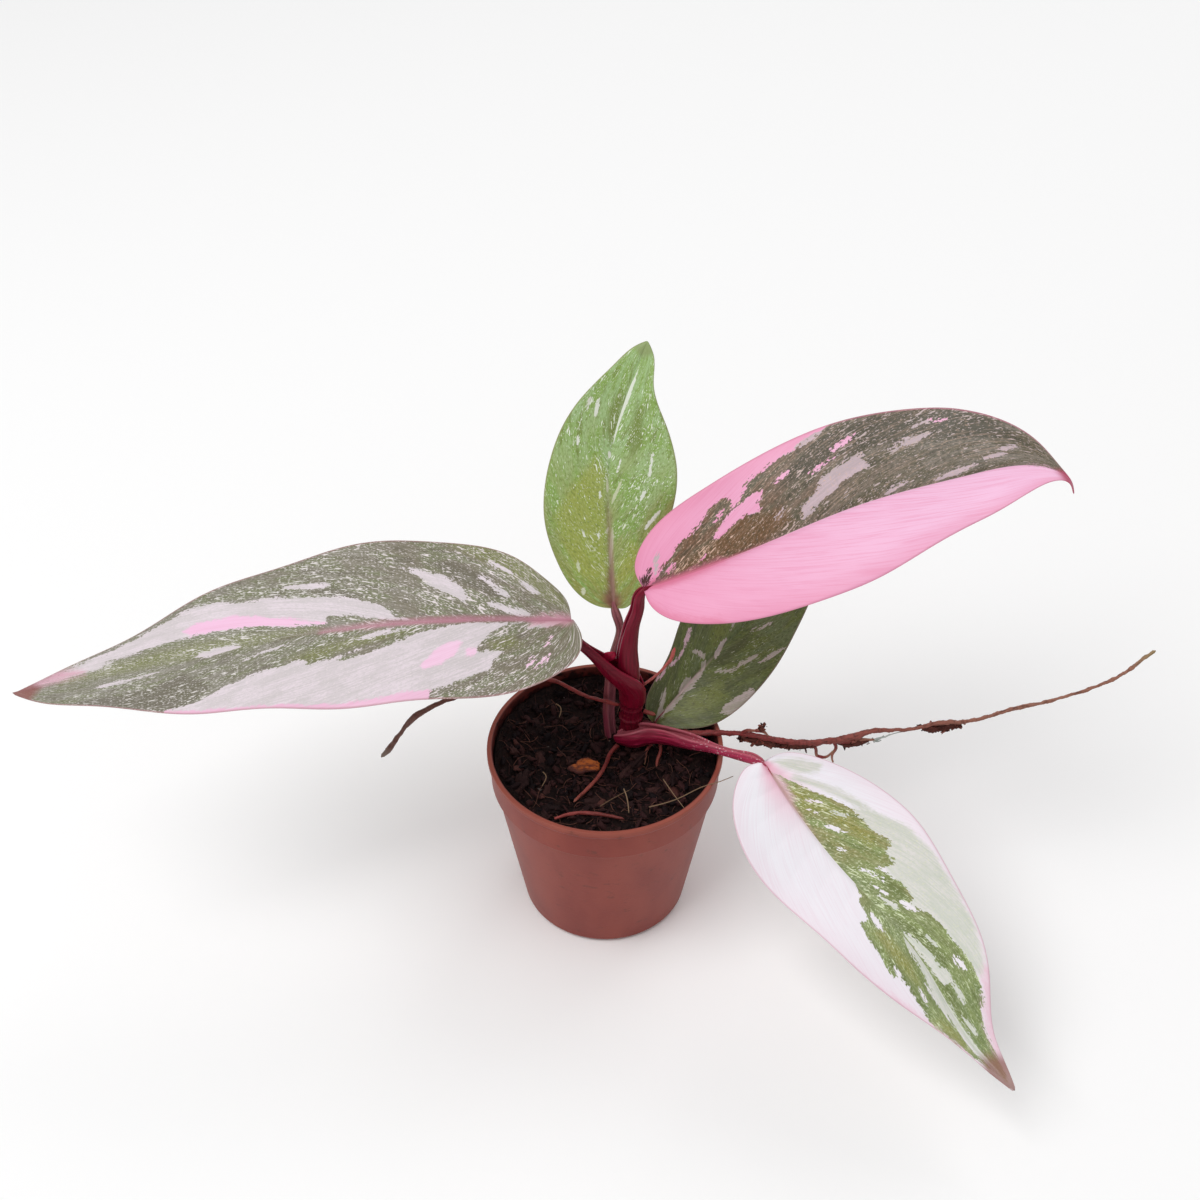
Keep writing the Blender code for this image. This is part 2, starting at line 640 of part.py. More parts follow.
def root(name, plan, group):
    """An aerial root; side rootlets are joined to it by one union."""
    item = tube(name, plan["path"], plan["radii"], group)
    if "rootlets" in plan:
        item = as_mesh(item)
        branches = bpy.data.collections.new(name + "_branches")
        bpy.context.scene.collection.children.link(branches)
        radius = plan["rootlet_radius"]
        for i, path in enumerate(plan["rootlets"]):
            radii = [radius, radius * 0.8, radius * 0.5]
            as_mesh(tube(f"{name}_branch_{i + 1}", path, radii, branches))
        join = item.modifiers.new("Join rootlets", "BOOLEAN")
        join.operation = "UNION"
        join.operand_type = "COLLECTION"
        join.collection = branches
        apply_modifiers(item)
        for branch in list(branches.objects):
            bpy.data.objects.remove(branch, do_unlink=True)
        bpy.data.collections.remove(branches)
        item.data.shade_smooth()
    item.data.materials.append(material(name, ROOT_RED, 0.6))
    return item


def bark_chip(group):
    """A lens-like flake with uneven faces."""
    bpy.ops.mesh.primitive_uv_sphere_add(segments=10, ring_count=6, radius=0.5)
    item = bpy.context.object
    item.name = "bark_chip"
    move_to(item, group)
    for corner in item.data.vertices:
        x, y, z = corner.co
        ragged = 1 + CHIP_LOBES * math.sin(9 * x + 4 * y) + CHIP_NOTCHES * math.cos(13 * y)
        shaped = Vector((x * CHIP_SIZE[0] * ragged, y * CHIP_SIZE[1] * ragged, z * CHIP_SIZE[2]))
        corner.co = shaped * METRES
    item.data.transform(Matrix.Rotation(math.radians(CHIP_TURN), 4, "Z"))
    item.location = Vector(CHIP_PLACE) * METRES
    item.data.shade_smooth()
    item.data.materials.append(material("bark_chip", BARK, 0.7))
    return item


def build():
    clear_scene()
    plant = collection("pink_princess_philodendron")
    guides = collection("guides")
    pot(plant, guides)
    stem(plant)
    stem_room = as_mesh(tube("room_for_stem", lengthened(STEM_PATH), STEM_RADII, guides, 12, GAP))
    petioles(plant, stem_room, guides)
    soil(plant, [stem_room, room_for_stalk("upright", guides), room_for_stalk("back", guides)])
    for leaf_name, leaf in LEAVES.items():
        blade("blade_" + leaf_name, leaf, plant)
    for name, plan in ROOTS.items():
        root(name, plan, plant)
    bark_chip(plant)


build()
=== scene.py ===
# %% [markdown]
# # A young pink princess philodendron in its nursery pot
# This is a house plant with five leaves. Each leaf is marked in pink, white and green, and no two
# are alike. The solid model gives the places and the main forms. This lesson dresses it: fine leaf
# blades with veins, ridged stalks, wrinkled roots, crumbly potting mix, and a finish for each.
# All sizes are in millimetres until a mesh is made, because a plant this small is easier to think
# about that way.

# %% Load the frame
import math
import random

import bmesh
import bpy
import numpy as np
from mathutils import Euler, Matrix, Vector, noise


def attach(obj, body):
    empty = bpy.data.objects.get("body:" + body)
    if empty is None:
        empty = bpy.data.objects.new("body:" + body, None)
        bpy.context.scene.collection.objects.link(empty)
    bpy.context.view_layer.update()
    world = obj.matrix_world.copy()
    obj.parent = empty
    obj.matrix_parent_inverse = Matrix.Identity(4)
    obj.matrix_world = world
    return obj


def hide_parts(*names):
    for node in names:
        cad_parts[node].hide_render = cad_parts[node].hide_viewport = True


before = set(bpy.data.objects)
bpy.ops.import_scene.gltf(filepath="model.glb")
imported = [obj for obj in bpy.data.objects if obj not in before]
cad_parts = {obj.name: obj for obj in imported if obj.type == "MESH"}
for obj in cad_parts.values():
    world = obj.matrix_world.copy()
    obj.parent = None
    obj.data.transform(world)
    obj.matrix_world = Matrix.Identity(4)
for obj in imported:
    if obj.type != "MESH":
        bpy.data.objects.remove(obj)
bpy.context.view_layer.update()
METRES = 0.001
SEED = 11
chance = random.Random(SEED)
print("solid model:", sorted(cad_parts))

# %% [markdown]
# ## Camera
# The picture was taken from above and in front, looking down by 42 degrees. A lens a little longer
# than normal keeps the near leaf from looking too large. The camera is set from those two facts, and
# its place was found by setting the pot's rim and the leaf tips over the picture.

# %% Camera
CAMERA_PLACE = (-1.17, -311.46, 372.79)
CAMERA_PITCH = 48.1
LENS = 57.87
SENSOR_WIDTH = 36
NEAREST_SEEN = 0.01

lens = bpy.data.cameras.new("camera")
lens.lens = LENS
lens.sensor_width = SENSOR_WIDTH
lens.clip_start = NEAREST_SEEN
camera = bpy.data.objects.new("camera", lens)
camera.location = Vector(CAMERA_PLACE) * METRES
camera.rotation_euler = (math.radians(CAMERA_PITCH), 0, 0)
bpy.context.scene.collection.objects.link(camera)
bpy.context.scene.camera = camera
print("camera at", CAMERA_PLACE)

# %% [markdown]
# ## Light and floor
# The plant stands in bright, even daylight on white. A white sky gives light from every side, and one
# large soft lamp above the left shoulder gives the leaves their gentle shine and shape. The Standard
# view keeps colours as they are painted, so that the pinks stay clear.

# %% Light and floor
SKY_STRENGTH = 0.59
FLOOR_SIZE = 6.0
FLOOR_WHITE = 0.96
FLOOR_ROUGHNESS = 0.9
LAMP_AIM = Vector((0, 0, 0.06))
LAMPS = [  # name, place in metres, width, power
    ("main_lamp", (-0.5, -0.35, 1.1), 0.7, 7.0),
    ("back_lamp", (0.5, 0.7, 0.9), 0.6, 2.3),
]

bpy.context.scene.view_settings.view_transform = "Standard"
sky = bpy.data.worlds.new("white_sky")
sky.use_nodes = True
sky.node_tree.nodes["Background"].inputs["Color"].default_value = (1.0, 1.0, 1.0, 1.0)
sky.node_tree.nodes["Background"].inputs["Strength"].default_value = SKY_STRENGTH
bpy.context.scene.world = sky

for name, place, width, power in LAMPS:
    data = bpy.data.lights.new(name, "AREA")
    data.energy = power
    data.size = width
    lamp = bpy.data.objects.new(name, data)
    lamp.location = place
    lamp.rotation_euler = (LAMP_AIM - Vector(place)).to_track_quat("-Z", "Y").to_euler()
    bpy.context.scene.collection.objects.link(lamp)

floor_mesh = bpy.data.meshes.new("floor")
half = FLOOR_SIZE / 2
floor_mesh.from_pydata([(-half, -half, 0), (half, -half, 0), (half, half, 0), (-half, half, 0)],
                       [], [(0, 1, 2, 3)])
floor = bpy.data.objects.new("floor", floor_mesh)
bpy.context.scene.collection.objects.link(floor)
floor_finish = bpy.data.materials.new("floor_white")
floor_finish.use_nodes = True
floor_shader = floor_finish.node_tree.nodes["Principled BSDF"]
floor_shader.inputs["Base Color"].default_value = (FLOOR_WHITE, FLOOR_WHITE, FLOOR_WHITE, 1.0)
floor_shader.inputs["Roughness"].default_value = FLOOR_ROUGHNESS
floor_mesh.materials.append(floor_finish)
print("floor and", len(LAMPS), "lamps are set")

# %% [markdown]
# ## A short way to write a finish
# A finish in Blender is a web of nodes. Most of ours do the same few things: read a value stored on
# the mesh, stretch a noise, pick a range of it, and mix two colours. This small class gives each of
# those a short name, so that a finish can be read as a recipe. All of them go through one maker, which
# adds a node, sets it up and plugs its inputs in.


# %% Finish recipes
class Recipe:
    """Builds one finish from short, named steps."""

    def __init__(self, name, roughness=0.5, shine=0.4):
        self.material = bpy.data.materials.new(name)
        self.material.use_nodes = True
        self.tree = self.material.node_tree
        self.shader = self.tree.nodes["Principled BSDF"]
        self.shader.inputs["Roughness"].default_value = roughness
        self.shader.inputs["Specular IOR Level"].default_value = shine

    def join(self, value, socket):
        """Plug in an output, or write a plain number or colour."""
        if isinstance(value, bpy.types.NodeSocket):
            self.tree.links.new(value, socket)
        elif isinstance(value, tuple) and len(value) == 3 and socket.type == "RGBA":
            socket.default_value = (*value, 1.0)
        else:
            socket.default_value = value

    def node(self, kind, inputs, output=0, **settings):
        """Add a node, set it up, fill its inputs and return one of its outputs."""
        made = self.tree.nodes.new("ShaderNode" + kind)
        for name, setting in settings.items():
            setattr(made, name, setting)
        for socket, value in inputs.items():
            self.join(value, made.inputs[socket])
        return made.outputs[output]

    def stored(self, name, output="Fac"):
        """A value that the mesh carries at each of its points."""
        return self.node("Attribute", {}, output, attribute_name=name)

    def noise(self, vector, scale, detail=3.0, rough=0.55):
        """Noise read over a stored place in millimetres; scale is one or three values per mm."""
        if isinstance(scale, tuple):
            vector = self.node("VectorMath", {0: vector, 1: scale}, operation="MULTIPLY")
            scale = 1.0
        return self.node("TexNoise", {"Vector": vector, "Scale": scale, "Detail": detail,
                                      "Roughness": rough}, "Fac")

    def maths(self, operation, first, second=0.0):
        return self.node("Math", {0: first, 1: second}, operation=operation)

    def both(self, first, second):
        return self.maths("MULTIPLY", first, second)

    def add(self, first, second):
        return self.maths("ADD", first, second)

    def centred(self, value):
        """Shift a noise so that it runs evenly to both sides of zero."""
        return self.maths("SUBTRACT", value, 0.5)

    def part(self, value, low, high, bottom=0.0, top=1.0):
        """Smoothly turn low to high into bottom to top."""
        return self.node("MapRange", {"Value": value, "From Min": low, "From Max": high, "To Min": bottom,
                                      "To Max": top}, "Result", interpolation_type="SMOOTHSTEP")

    def mix(self, share, first, second):
        """Go from the first colour to the second by a share."""
        return self.node("Mix", {0: share, 6: first, 7: second}, 2, data_type="RGBA")

    def lay(self, under, over, value, low, high, bottom=0.0, top=1.0):
        """Lay one colour over another where a value runs from low to high."""
        return self.mix(self.part(value, low, high, bottom, top), under, over)

    def relief(self, height, distance, strength=1.0):
        """Fine bumps, with their depth given in millimetres."""
        normal = self.node("Bump", {"Strength": strength, "Distance": distance * METRES,
                                    "Height": height}, "Normal")
        self.join(normal, self.shader.inputs["Normal"])

    def colour(self, value):
        self.join(value, self.shader.inputs["Base Color"])
        return self.material


print("recipes ready")

# %% [markdown]
# ## Smooth lines and rings
# Stalks, stems, roots, the pot and even the leaf blades can be made in one way: a row of closed rings,
# each with as many points as the next, joined by small squares. A ring that shrinks to one point
# closes the end. A spline carries the rings along a line given by only a few points.

# %% Smooth lines
def smooth_line(points, count):
    """Read evenly spaced points from a natural cubic spline through the given ones."""
    knots = np.array(points, float)
    steps = np.linalg.norm(np.diff(knots[:, :3], axis=0), axis=1)
    place = np.concatenate([[0.0], np.cumsum(steps)])
    last = len(knots) - 1
    system = np.zeros((last + 1, last + 1))
    system[0, 0] = system[last, last] = 1.0
    target = np.zeros_like(knots)
    for i in range(1, last):
        system[i, i - 1:i + 2] = (steps[i - 1], 2 * (steps[i - 1] + steps[i]), steps[i])
        slope_after = (knots[i + 1] - knots[i]) / steps[i]
        slope_before = (knots[i] - knots[i - 1]) / steps[i - 1]
        target[i] = 6 * (slope_after - slope_before)
    bend = np.linalg.solve(system, target)
    wanted = np.linspace(0, place[-1], count)
    span = np.clip(np.searchsorted(place, wanted, side="right") - 1, 0, last - 1)
    before = (wanted - place[span])[:, None]
    after = (place[span + 1] - wanted)[:, None]
    width = steps[span][:, None]
    curve = (bend[span] * after**3 + bend[span + 1] * before**3) / (6 * width)
    curve += (knots[span] / width - bend[span] * width / 6) * after
    curve += (knots[span + 1] / width - bend[span + 1] * width / 6) * before
    return curve


def unit(vectors):
    return vectors / np.linalg.norm(vectors, axis=-1, keepdims=True)


def across(vectors, along):
    """Keep the part of each vector that is square to the direction along."""
    return unit(vectors - along * np.sum(vectors * along, axis=-1, keepdims=True))


def travelled(line):
    """The distance along a line at each of its points."""
    steps = np.linalg.norm(np.diff(line, axis=0), axis=1)
    return np.concatenate([[0.0], np.cumsum(steps)])


print("lines can be smoothed")

# %% [markdown]
# From here on every piece is made the same way. Its points come as rings in millimetres, squares join
# them, and the mesh carries the values that its finish reads. Every piece rides on the plant's one
# rigid body, gets its finish, and hides the nodes of the solid model that it stands for.

# %% Rings and pieces
plant = bpy.data.collections.new("philodendron")
bpy.context.scene.collection.children.link(plant)


def closed(rings, ends=None):
    """Points and faces: squares between rings, and a fan to one point at each end."""
    count, size = rings.shape[:2]
    if ends is None:
        ends = rings[0].mean(axis=0), rings[-1].mean(axis=0)
    faces = []
    for i in range(count - 1):
        for j in range(size):
            a, b = i * size + j, i * size + (j + 1) % size
            faces.append((a, b, b + size, a + size))
    first, last, final = count * size, count * size + 1, (count - 1) * size
    for j in range(size):
        following = (j + 1) % size
        faces.append((first, following, j))
        faces.append((last, final + j, final + following))
    return np.vstack([rings.reshape(-1, 3), *ends]), faces


def add_piece(name, points, faces, finish, nodes=(), stored=None):
    """Make a piece from points in millimetres, with the values that its finish reads."""
    mesh = bpy.data.meshes.new(name)
    mesh.from_pydata((np.asarray(points) * METRES).tolist(), [], faces)
    shell = bmesh.new()
    shell.from_mesh(mesh)
    bmesh.ops.recalc_face_normals(shell, faces=shell.faces)
    shell.to_mesh(mesh)
    shell.free()
    mesh.shade_smooth()
    for label, values in (stored or {}).items():
        values = np.asarray(values, float)
        kind = "FLOAT_VECTOR" if values.ndim == 2 else "FLOAT"
        layer = mesh.attributes.new(label, kind, "POINT")
        layer.data.foreach_set("vector" if values.ndim == 2 else "value", values.ravel())
    mesh.materials.append(finish)
    item = bpy.data.objects.new(name, mesh)
    plant.objects.link(item)
    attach(item, "root")
    if nodes:
        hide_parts(*nodes)
    print(name, len(mesh.vertices), "points")
    return item


print("pieces go into", plant.name)

# %% [markdown]
# ## The leaf's form
# A philodendron leaf is nearly flat when it unrolls, then folds a little along its midrib, and its
# margins curl down and wave. So each blade starts as a flat outline in two halves, and the same sum
# bends every point of it over the curved midrib. The tables are those of the solid model, with a
# blunter tip for the upright leaf: the points along the midrib, which way the leaf faces at base and
# tip, and both half outlines, as distance along the midrib and out from it. "left" is the left half
# seen from the base with the upper face up. "fold" is the angle of each half at the midrib, "curl" how
# many degrees it bends down per millimetre, "rib" how far the midrib stands out below, and "wave" the
# height, length and start of the margin's wave.

# %% Leaf tables
LEAVES = {
    "left": {
        "midrib": [(-7.5, 5, 83), (-38.5, 4, 83.5), (-70, 1, 81.5), (-100.5, -3.5, 76.5), (-131, -8, 73)],
        "face_at_base": (0, -0.22, 0.97),
        "face_at_tip": (-0.1, -0.12, 0.98),
        "fold": 14,
        "curl": 0.65,
        "left": [(-2, 5), (-1.5, 11), (6, 18.5), (21, 22.3), (44.5, 23.5), (68, 21), (90.5, 15.5),
                 (110, 8.5), (119.5, 4)],
        "right": [(1, 4.5), (5, 9), (12.5, 15), (27, 20.5), (48.5, 21), (70.5, 17.5), (91.5, 11.5),
                  (109.5, 4.5), (118.5, 1.5)],
        "rib": 1.0,
        "wave": (0.7, 34, 0.4),
    },
    "upright": {
        "midrib": [(2, 14.5, 78), (1, 21, 96.5), (1.5, 25.5, 115.5), (5.5, 29.5, 129.5), (9, 33, 138.2)],
        "face_at_base": (0, -0.95, 0.25),
        "face_at_tip": (0, -0.9, 0.43),
        "fold": 10,
        "curl": 0.5,
        "left": [(0.5, 2.5), (2, 5.5), (5.5, 9), (13, 12.5), (25, 14.5), (36.5, 13), (48, 9.6),
                 (57.5, 4.8), (62.4, 2)],
        "right": [(0, 2.5), (2.5, 5), (6.5, 7.5), (14, 11), (26, 14.5), (38, 14.4), (48.5, 9.8),
                  (56.5, 4.4), (62, 2.3)],
        "rib": 0.8,
        "wave": (0.5, 26, 1.2),
    },
    "pink": {
        "midrib": [(8.5, 7, 90.5), (32.5, 8.5, 101), (55, 10, 112), (77.5, 9.5, 120.5), (93.5, 7.5, 123.5),
                   (97.6, 6.4, 121.3), (98.7, 5.8, 118)],
        "face_at_base": (0, -0.6, 0.8),
        "face_at_tip": (0.12, -0.46, 0.88),
        "fold": 16,
        "curl": 0.7,
        "left": [(-0.5, 4), (2, 8.5), (8.5, 13), (20.5, 16), (39, 18.5), (57, 18), (75, 14.5), (88, 5.5),
                 (94, 1)],
        "right": [(0.5, 4), (3, 8), (9.5, 12), (21.5, 15.5), (39, 17.5), (56.5, 16.5), (74, 11.5),
                  (88.5, 6.5), (95, 2)],
        "rib": 0.9,
        "wave": (0.5, 30, 2.0),
    },
    "back": {
        "midrib": [(11.5, 7, 48), (23.5, 17, 57), (37, 28, 64.5), (52, 39, 71)],
        "face_at_base": (0.35, -0.42, 0.84),
        "face_at_tip": (0.3, -0.45, 0.84),
        "fold": 20,
        "curl": 0.6,
        "left": [(0.5, 3), (3, 5.5), (8, 7), (15, 9), (22, 12.5), (31, 13.5), (41, 10.5), (50, 5), (54, 2)],
        "right": [(1, 2.5), (3.5, 6), (7, 9.5), (14, 12.5), (23.5, 13), (33, 11.5), (43, 8), (50.5, 4),
                  (54, 1.5)],
        "rib": 0.6,
        "wave": (0.6, 22, 0.9),
    },
    "white": {
        "midrib": [(36, -10, 53), (52, -29, 40), (68.5, -49.5, 33), (79, -66.5, 24.5), (87, -76, 21.5)],
        "face_at_base": (0.12, -0.3, 0.94),
        "face_at_tip": (0.22, -0.34, 0.91),
        "fold": 12,
        "curl": 0.5,
        "left": [(0.5, 4), (3, 8), (9, 13.5), (19.5, 19.5), (30, 21), (46.5, 18), (63.5, 12.5), (78, 5.5),
                 (85, 2.5)],
        "right": [(-1, 4), (0.5, 8.5), (5.5, 14), (16.5, 18), (31, 17), (47.5, 15.6), (64, 10),
                  (77.5, 3), (85, 1)],
        "rib": 0.8,
        "wave": (0.6, 30, 0.0),
    },
}
print(len(LEAVES), "leaves")

# %% [markdown]
# ## Bending a flat leaf
# A place on the leaf is written as two shares: s runs from base to tip, and t runs out from the midrib
# to the margin, positive on the left half. A line of one s follows a side vein, which leaves the midrib
# and sweeps towards the tip. First the shares become flat millimetres, then those are bent.

# %% Leaf form
VEIN_LAG = 1.4
VEIN_SWEEP = 1.6
MIDRIB_POINTS = 161
OUTLINE_POINTS = 241


class LeafForm:
    """Bends a flat leaf outline over its midrib, folds it to a valley and curls it down."""

    def __init__(self, leaf):
        self.line = smooth_line(leaf["midrib"], MIDRIB_POINTS)
        self.place = travelled(self.line)
        self.length = self.place[-1]
        self.along = unit(np.gradient(self.line, self.place, axis=0))
        share = (self.place / self.length)[:, None]
        base_face = unit(np.array(leaf["face_at_base"], float))
        tip_face = unit(np.array(leaf["face_at_tip"], float))
        self.up = across(base_face * (1 - share) + tip_face * share, self.along)
        self.fold = math.radians(leaf["fold"])
        self.curl = math.radians(leaf["curl"])
        self.wave, self.wave_length, self.wave_start = leaf["wave"]
        self.left, self.right = (smooth_line([(0, 0), *leaf[half], (self.length, 0)], OUTLINE_POINTS)
                                 for half in ("left", "right"))

    def read(self, table, x):
        return np.stack([np.interp(x, self.place, table[:, i]) for i in range(3)], axis=-1)

    def flat(self, s, t):
        """Millimetres along the midrib and out from it, positive to the left."""
        s, t = np.asarray(s, float), np.asarray(t, float)
        steps = np.linspace(0, 1, OUTLINE_POINTS)
        start = self.length * s**VEIN_LAG
        edge = [np.where(t >= 0, np.interp(s, steps, self.left[:, i]), np.interp(s, steps, self.right[:, i]))
                for i in range(2)]
        out = np.abs(t)
        return start + (edge[0] - start) * out**VEIN_SWEEP, edge[1] * t

    def bend(self, x, y, out):
        """Points and upward normals for flat places x and y."""
        held = np.clip(x, 0, self.length)
        along = unit(self.read(self.along, held))
        up = across(self.read(self.up, held), along)
        side = np.where(y < 0, -1.0, 1.0)
        left = np.cross(up, along) * side[..., None]
        angle = self.fold - self.curl * np.abs(y)
        reach = (math.sin(self.fold) - np.sin(angle)) / self.curl
        rise = (np.cos(angle) - math.cos(self.fold)) / self.curl
        phase = 2 * math.pi * x / self.wave_length + self.wave_start + side
        rise = rise + self.wave * np.sin(phase) * out**3
        point = self.read(self.line, held) + along * (x - held)[..., None]
        point = point + left * reach[..., None] + up * rise[..., None]
        normal = up * np.cos(angle)[..., None] - left * np.sin(angle)[..., None]
        return point, normal


forms = {name: LeafForm(leaf) for name, leaf in LEAVES.items()}
print({name: round(form.length) for name, form in forms.items()}, "mm long")

# %% [markdown]
# ## The pattern on each leaf
# The markings of this plant are sectors: cells that lost their green divide and spread from the midrib
# towards the margin, so that patches are long and lean forward, with ragged, streaky edges. A pattern
# is a list of patches, each a few corners s and t, in percent. There are three kinds: green, pure for
# pink or white without any green, and pale for the silvery half-tone, where a clear skin lies over
# green. A later patch paints over an earlier one. Three softer kinds only tint what they cover: rose,
# where red sap shows, and dark and fresh, where the green is deeper or brighter. A streak is slimmer:
# its two ends are written as s, t, s, t, and the last number is half its width in millimetres.

# %% Patches of the pink leaf and the left leaf
MARKS = {}
MARKS["pink"] = {
    "ground": "pure",
    "patches": [
        ("green", [(.8, 0), (3, 3), (5.5, 7), (10, 16), (12.5, 28), (16.5, 32), (18, 42), (20, 48),
            (22, 48), (25, 58), (28, 70), (30.5, 74), (33, 70), (33.5, 55), (34.5, 56), (37.5, 70),
            (36, 75), (40, 80), (44, 85), (50, 93), (56, 110), (80, 110), (95.5, 110), (95.5, 0), (70, 0),
            (40, 0)]),
        ("green", [(.4, 0), (1.2, 4), (4.5, 18), (7, 28), (8.8, 40), (8, 44), (5.8, 38), (5.2, 50), (4, 50),
            (3.2, 68), (1.8, 74), (.4, 50)]),
        ("pale", [(9, 20), (11, 30), (13, 55), (11, 52), (9.5, 35)]),
        ("pure", [(28.5, 31), (30, 39), (33, 53), (37, 61), (41, 59), (41.25, 52), (40, 47), (41, 42),
            (40.5, 39), (37.5, 41), (35, 37.5), (32.5, 31), (30, 29)]),
        ("pale", [(50, 9), (50.3, 23), (53, 34), (54, 45), (57.5, 53), (61, 59), (62, 55), (61.5, 50),
            (62.8, 42), (61, 37.5), (58, 33), (57, 25), (53.75, 17), (52, 12.5)]),
        ("pale", [(75, 3), (75.3, 9), (78, 17), (82, 19), (80.6, 11), (79, 5)]),
        ("pale", [(44, 86), (47, 93), (53, 102), (50, 90)]),
        ("dark", [(44, 50), (50, 88), (60, 98), (80, 98), (90, 80), (78, 62), (62, 62), (52, 56)]),
        ("dark", [(.4, 0), (7, 20), (10, 44), (5, 56), (.4, 74)]),
        ("fresh", [(10, 2), (20, 20), (36, 40), (46, 30), (48, 10), (40, 2)]),
        ("rose", [(2, -10), (10, -10), (18, -4), (30, -1), (30, 1), (2, 0)]),
        ("rose", [(5, -85), (20, -92), (20, -110), (2, -110)]),
    ],
    "streaks": [
        ("pure", 28.5, 50, 32, 59, .4), ("pure", 43.5, 58, 46.5, 68, .4), ("pure", 51, 55, 56, 65, .35),
        ("pure", 54.5, 71, 58.5, 82, .45), ("pale", 66, 52, 72, 70, .55), ("pale", 65, 60, 69, 70, .3),
        ("pure", 70, 84, 73.5, 89, .5), ("pale", 68, 80, 72, 86, .4), ("pure", 13, 10, 17, 21, .6),
        ("pure", 24, 10, 27, 18, .5), ("pale", 66, 2, 70.5, 12, .35), ("pale", 85, 50, 87, 70, .4),
        ("pale", 44, 20, 47, 30, .4), ("pale", 83, 30, 86, 42, .4),
    ],
}
MARKS["left"] = {
    "ground": "green",
    "patches": [
        ("pale", [(19.4, 6), (30, 5), (35, 9), (40, 19), (44, 27.5), (48.75, 34), (53, 44), (56.25, 50),
            (56.6, 44), (58, 41), (61.6, 48), (67.5, 64), (68, 72), (70.6, 86), (74.5, 95), (74.5, 110),
            (35, 110), (35, 94), (30, 84), (27, 75), (24, 70), (23.75, 59), (22, 48), (25, 44), (27, 47),
            (27.2, 36), (25.6, 28), (24.4, 19), (20.6, 9)]),
        ("pure", [(30.3, 33), (31.25, 48), (33, 59), (36, 64), (36.6, 59), (35, 42), (33, 33), (30.6, 30)]),
        ("pure", [(27, 41), (29, 43), (29, 52), (27.5, 50)]),
        ("pure", [(33, 90), (37, 90), (42, 94), (50, 96.5), (62, 97.5), (74.5, 96.5), (74.5, 110),
            (33, 110)]),
        ("green", [(40, 20), (44, 24), (48, 32), (53, 44), (50, 45), (46, 36), (42, 27)]),
        ("pale", [(40, -1), (43.75, -3), (46.25, -8), (50, -12.5), (54, -19), (55, -9), (56.25, -9),
            (62.5, -19), (69, -34), (74, -45), (80, -55), (86.6, -56), (87.5, -41), (94, -41), (98, -50),
            (98, -85), (90, -90), (74, -93), (66.25, -84), (63.75, -70), (60, -62.5), (55, -50),
            (50, -37.5), (47.5, -31), (45, -22), (43.75, -9)]),
        ("pure", [(55, -9), (60, -16), (65.6, -28), (73.75, -47), (74, -59), (71.25, -62.5), (65.6, -50),
            (62.5, -34), (58, -19)]),
        ("dark", [(47, -36), (51, -37), (54.5, -54), (50, -54)]),
        ("fresh", [(56, -4), (66, -14), (78, -36), (86, -44), (93, -30), (94, 5), (80, 4), (66, 4)]),
        ("fresh", [(3, -45), (10, -40), (18, -60), (24, -80), (28, -105), (4, -105)]),
        ("fresh", [(20, 25), (25, 35), (23.5, 48), (18, 42)]),
        ("fresh", [(40, 14), (52, 34), (56, 46), (60, 36), (54, 22), (46, 10)]),
        ("dark", [(70, 64), (71, 84), (74, 105), (90, 105), (86, 80), (80, 62), (76, 33), (74.5, 45)]),
        ("dark", [(20, -28), (24, -26), (30, -48), (33, -70), (28, -72), (23, -50)]),
        ("rose", [(0, -30), (0, 50), (4, 32), (7, 17), (15.5, 10), (15.5, 2), (13, -4), (5, -14)]),
        ("rose", [(90, -50), (96, -45), (100, -40), (100, -110), (92, -100)]),
        ("pale", [(28.5, -25), (30, -22), (32.5, -31), (35.6, -44), (36.6, -59), (38, -64), (35, -61),
            (32, -53), (30, -44), (29, -34)]),
    ],
    "streaks": [
        ("pale", 41, 8, 50, 20, .6), ("pale", 68.5, 0, 75.5, 2, .9), ("pale", 15.5, -5, 25.6, -19, .8),
        ("pale", 50, -56, 56, -70, .8), ("pale", 17, -66, 22, -75, .6), ("pure", 12.5, 67, 17, 83, .5),
        ("pure", 10, 40, 13.5, 53, .5), ("pale", 6, 6, 16, 17, .8), ("pale", 20, -30, 25, -55, .5),
        ("rose", 30, 1, 56, 2, .3), ("pale", 12, -45, 16, -62, .4), ("pale", 60, 12, 68, 30, .5),
        ("pure", 15.5, 62, 18, 75, .4), ("pale", 80, 20, 88, 45, .5),
    ],
}
print("patches:", {name: len(marks["patches"]) for name, marks in MARKS.items()})

# %% [markdown]
# The white leaf is the other way round: its ground is white, and two green bands run along it. The
# upright leaf and the small back leaf are green with a few pale streaks.

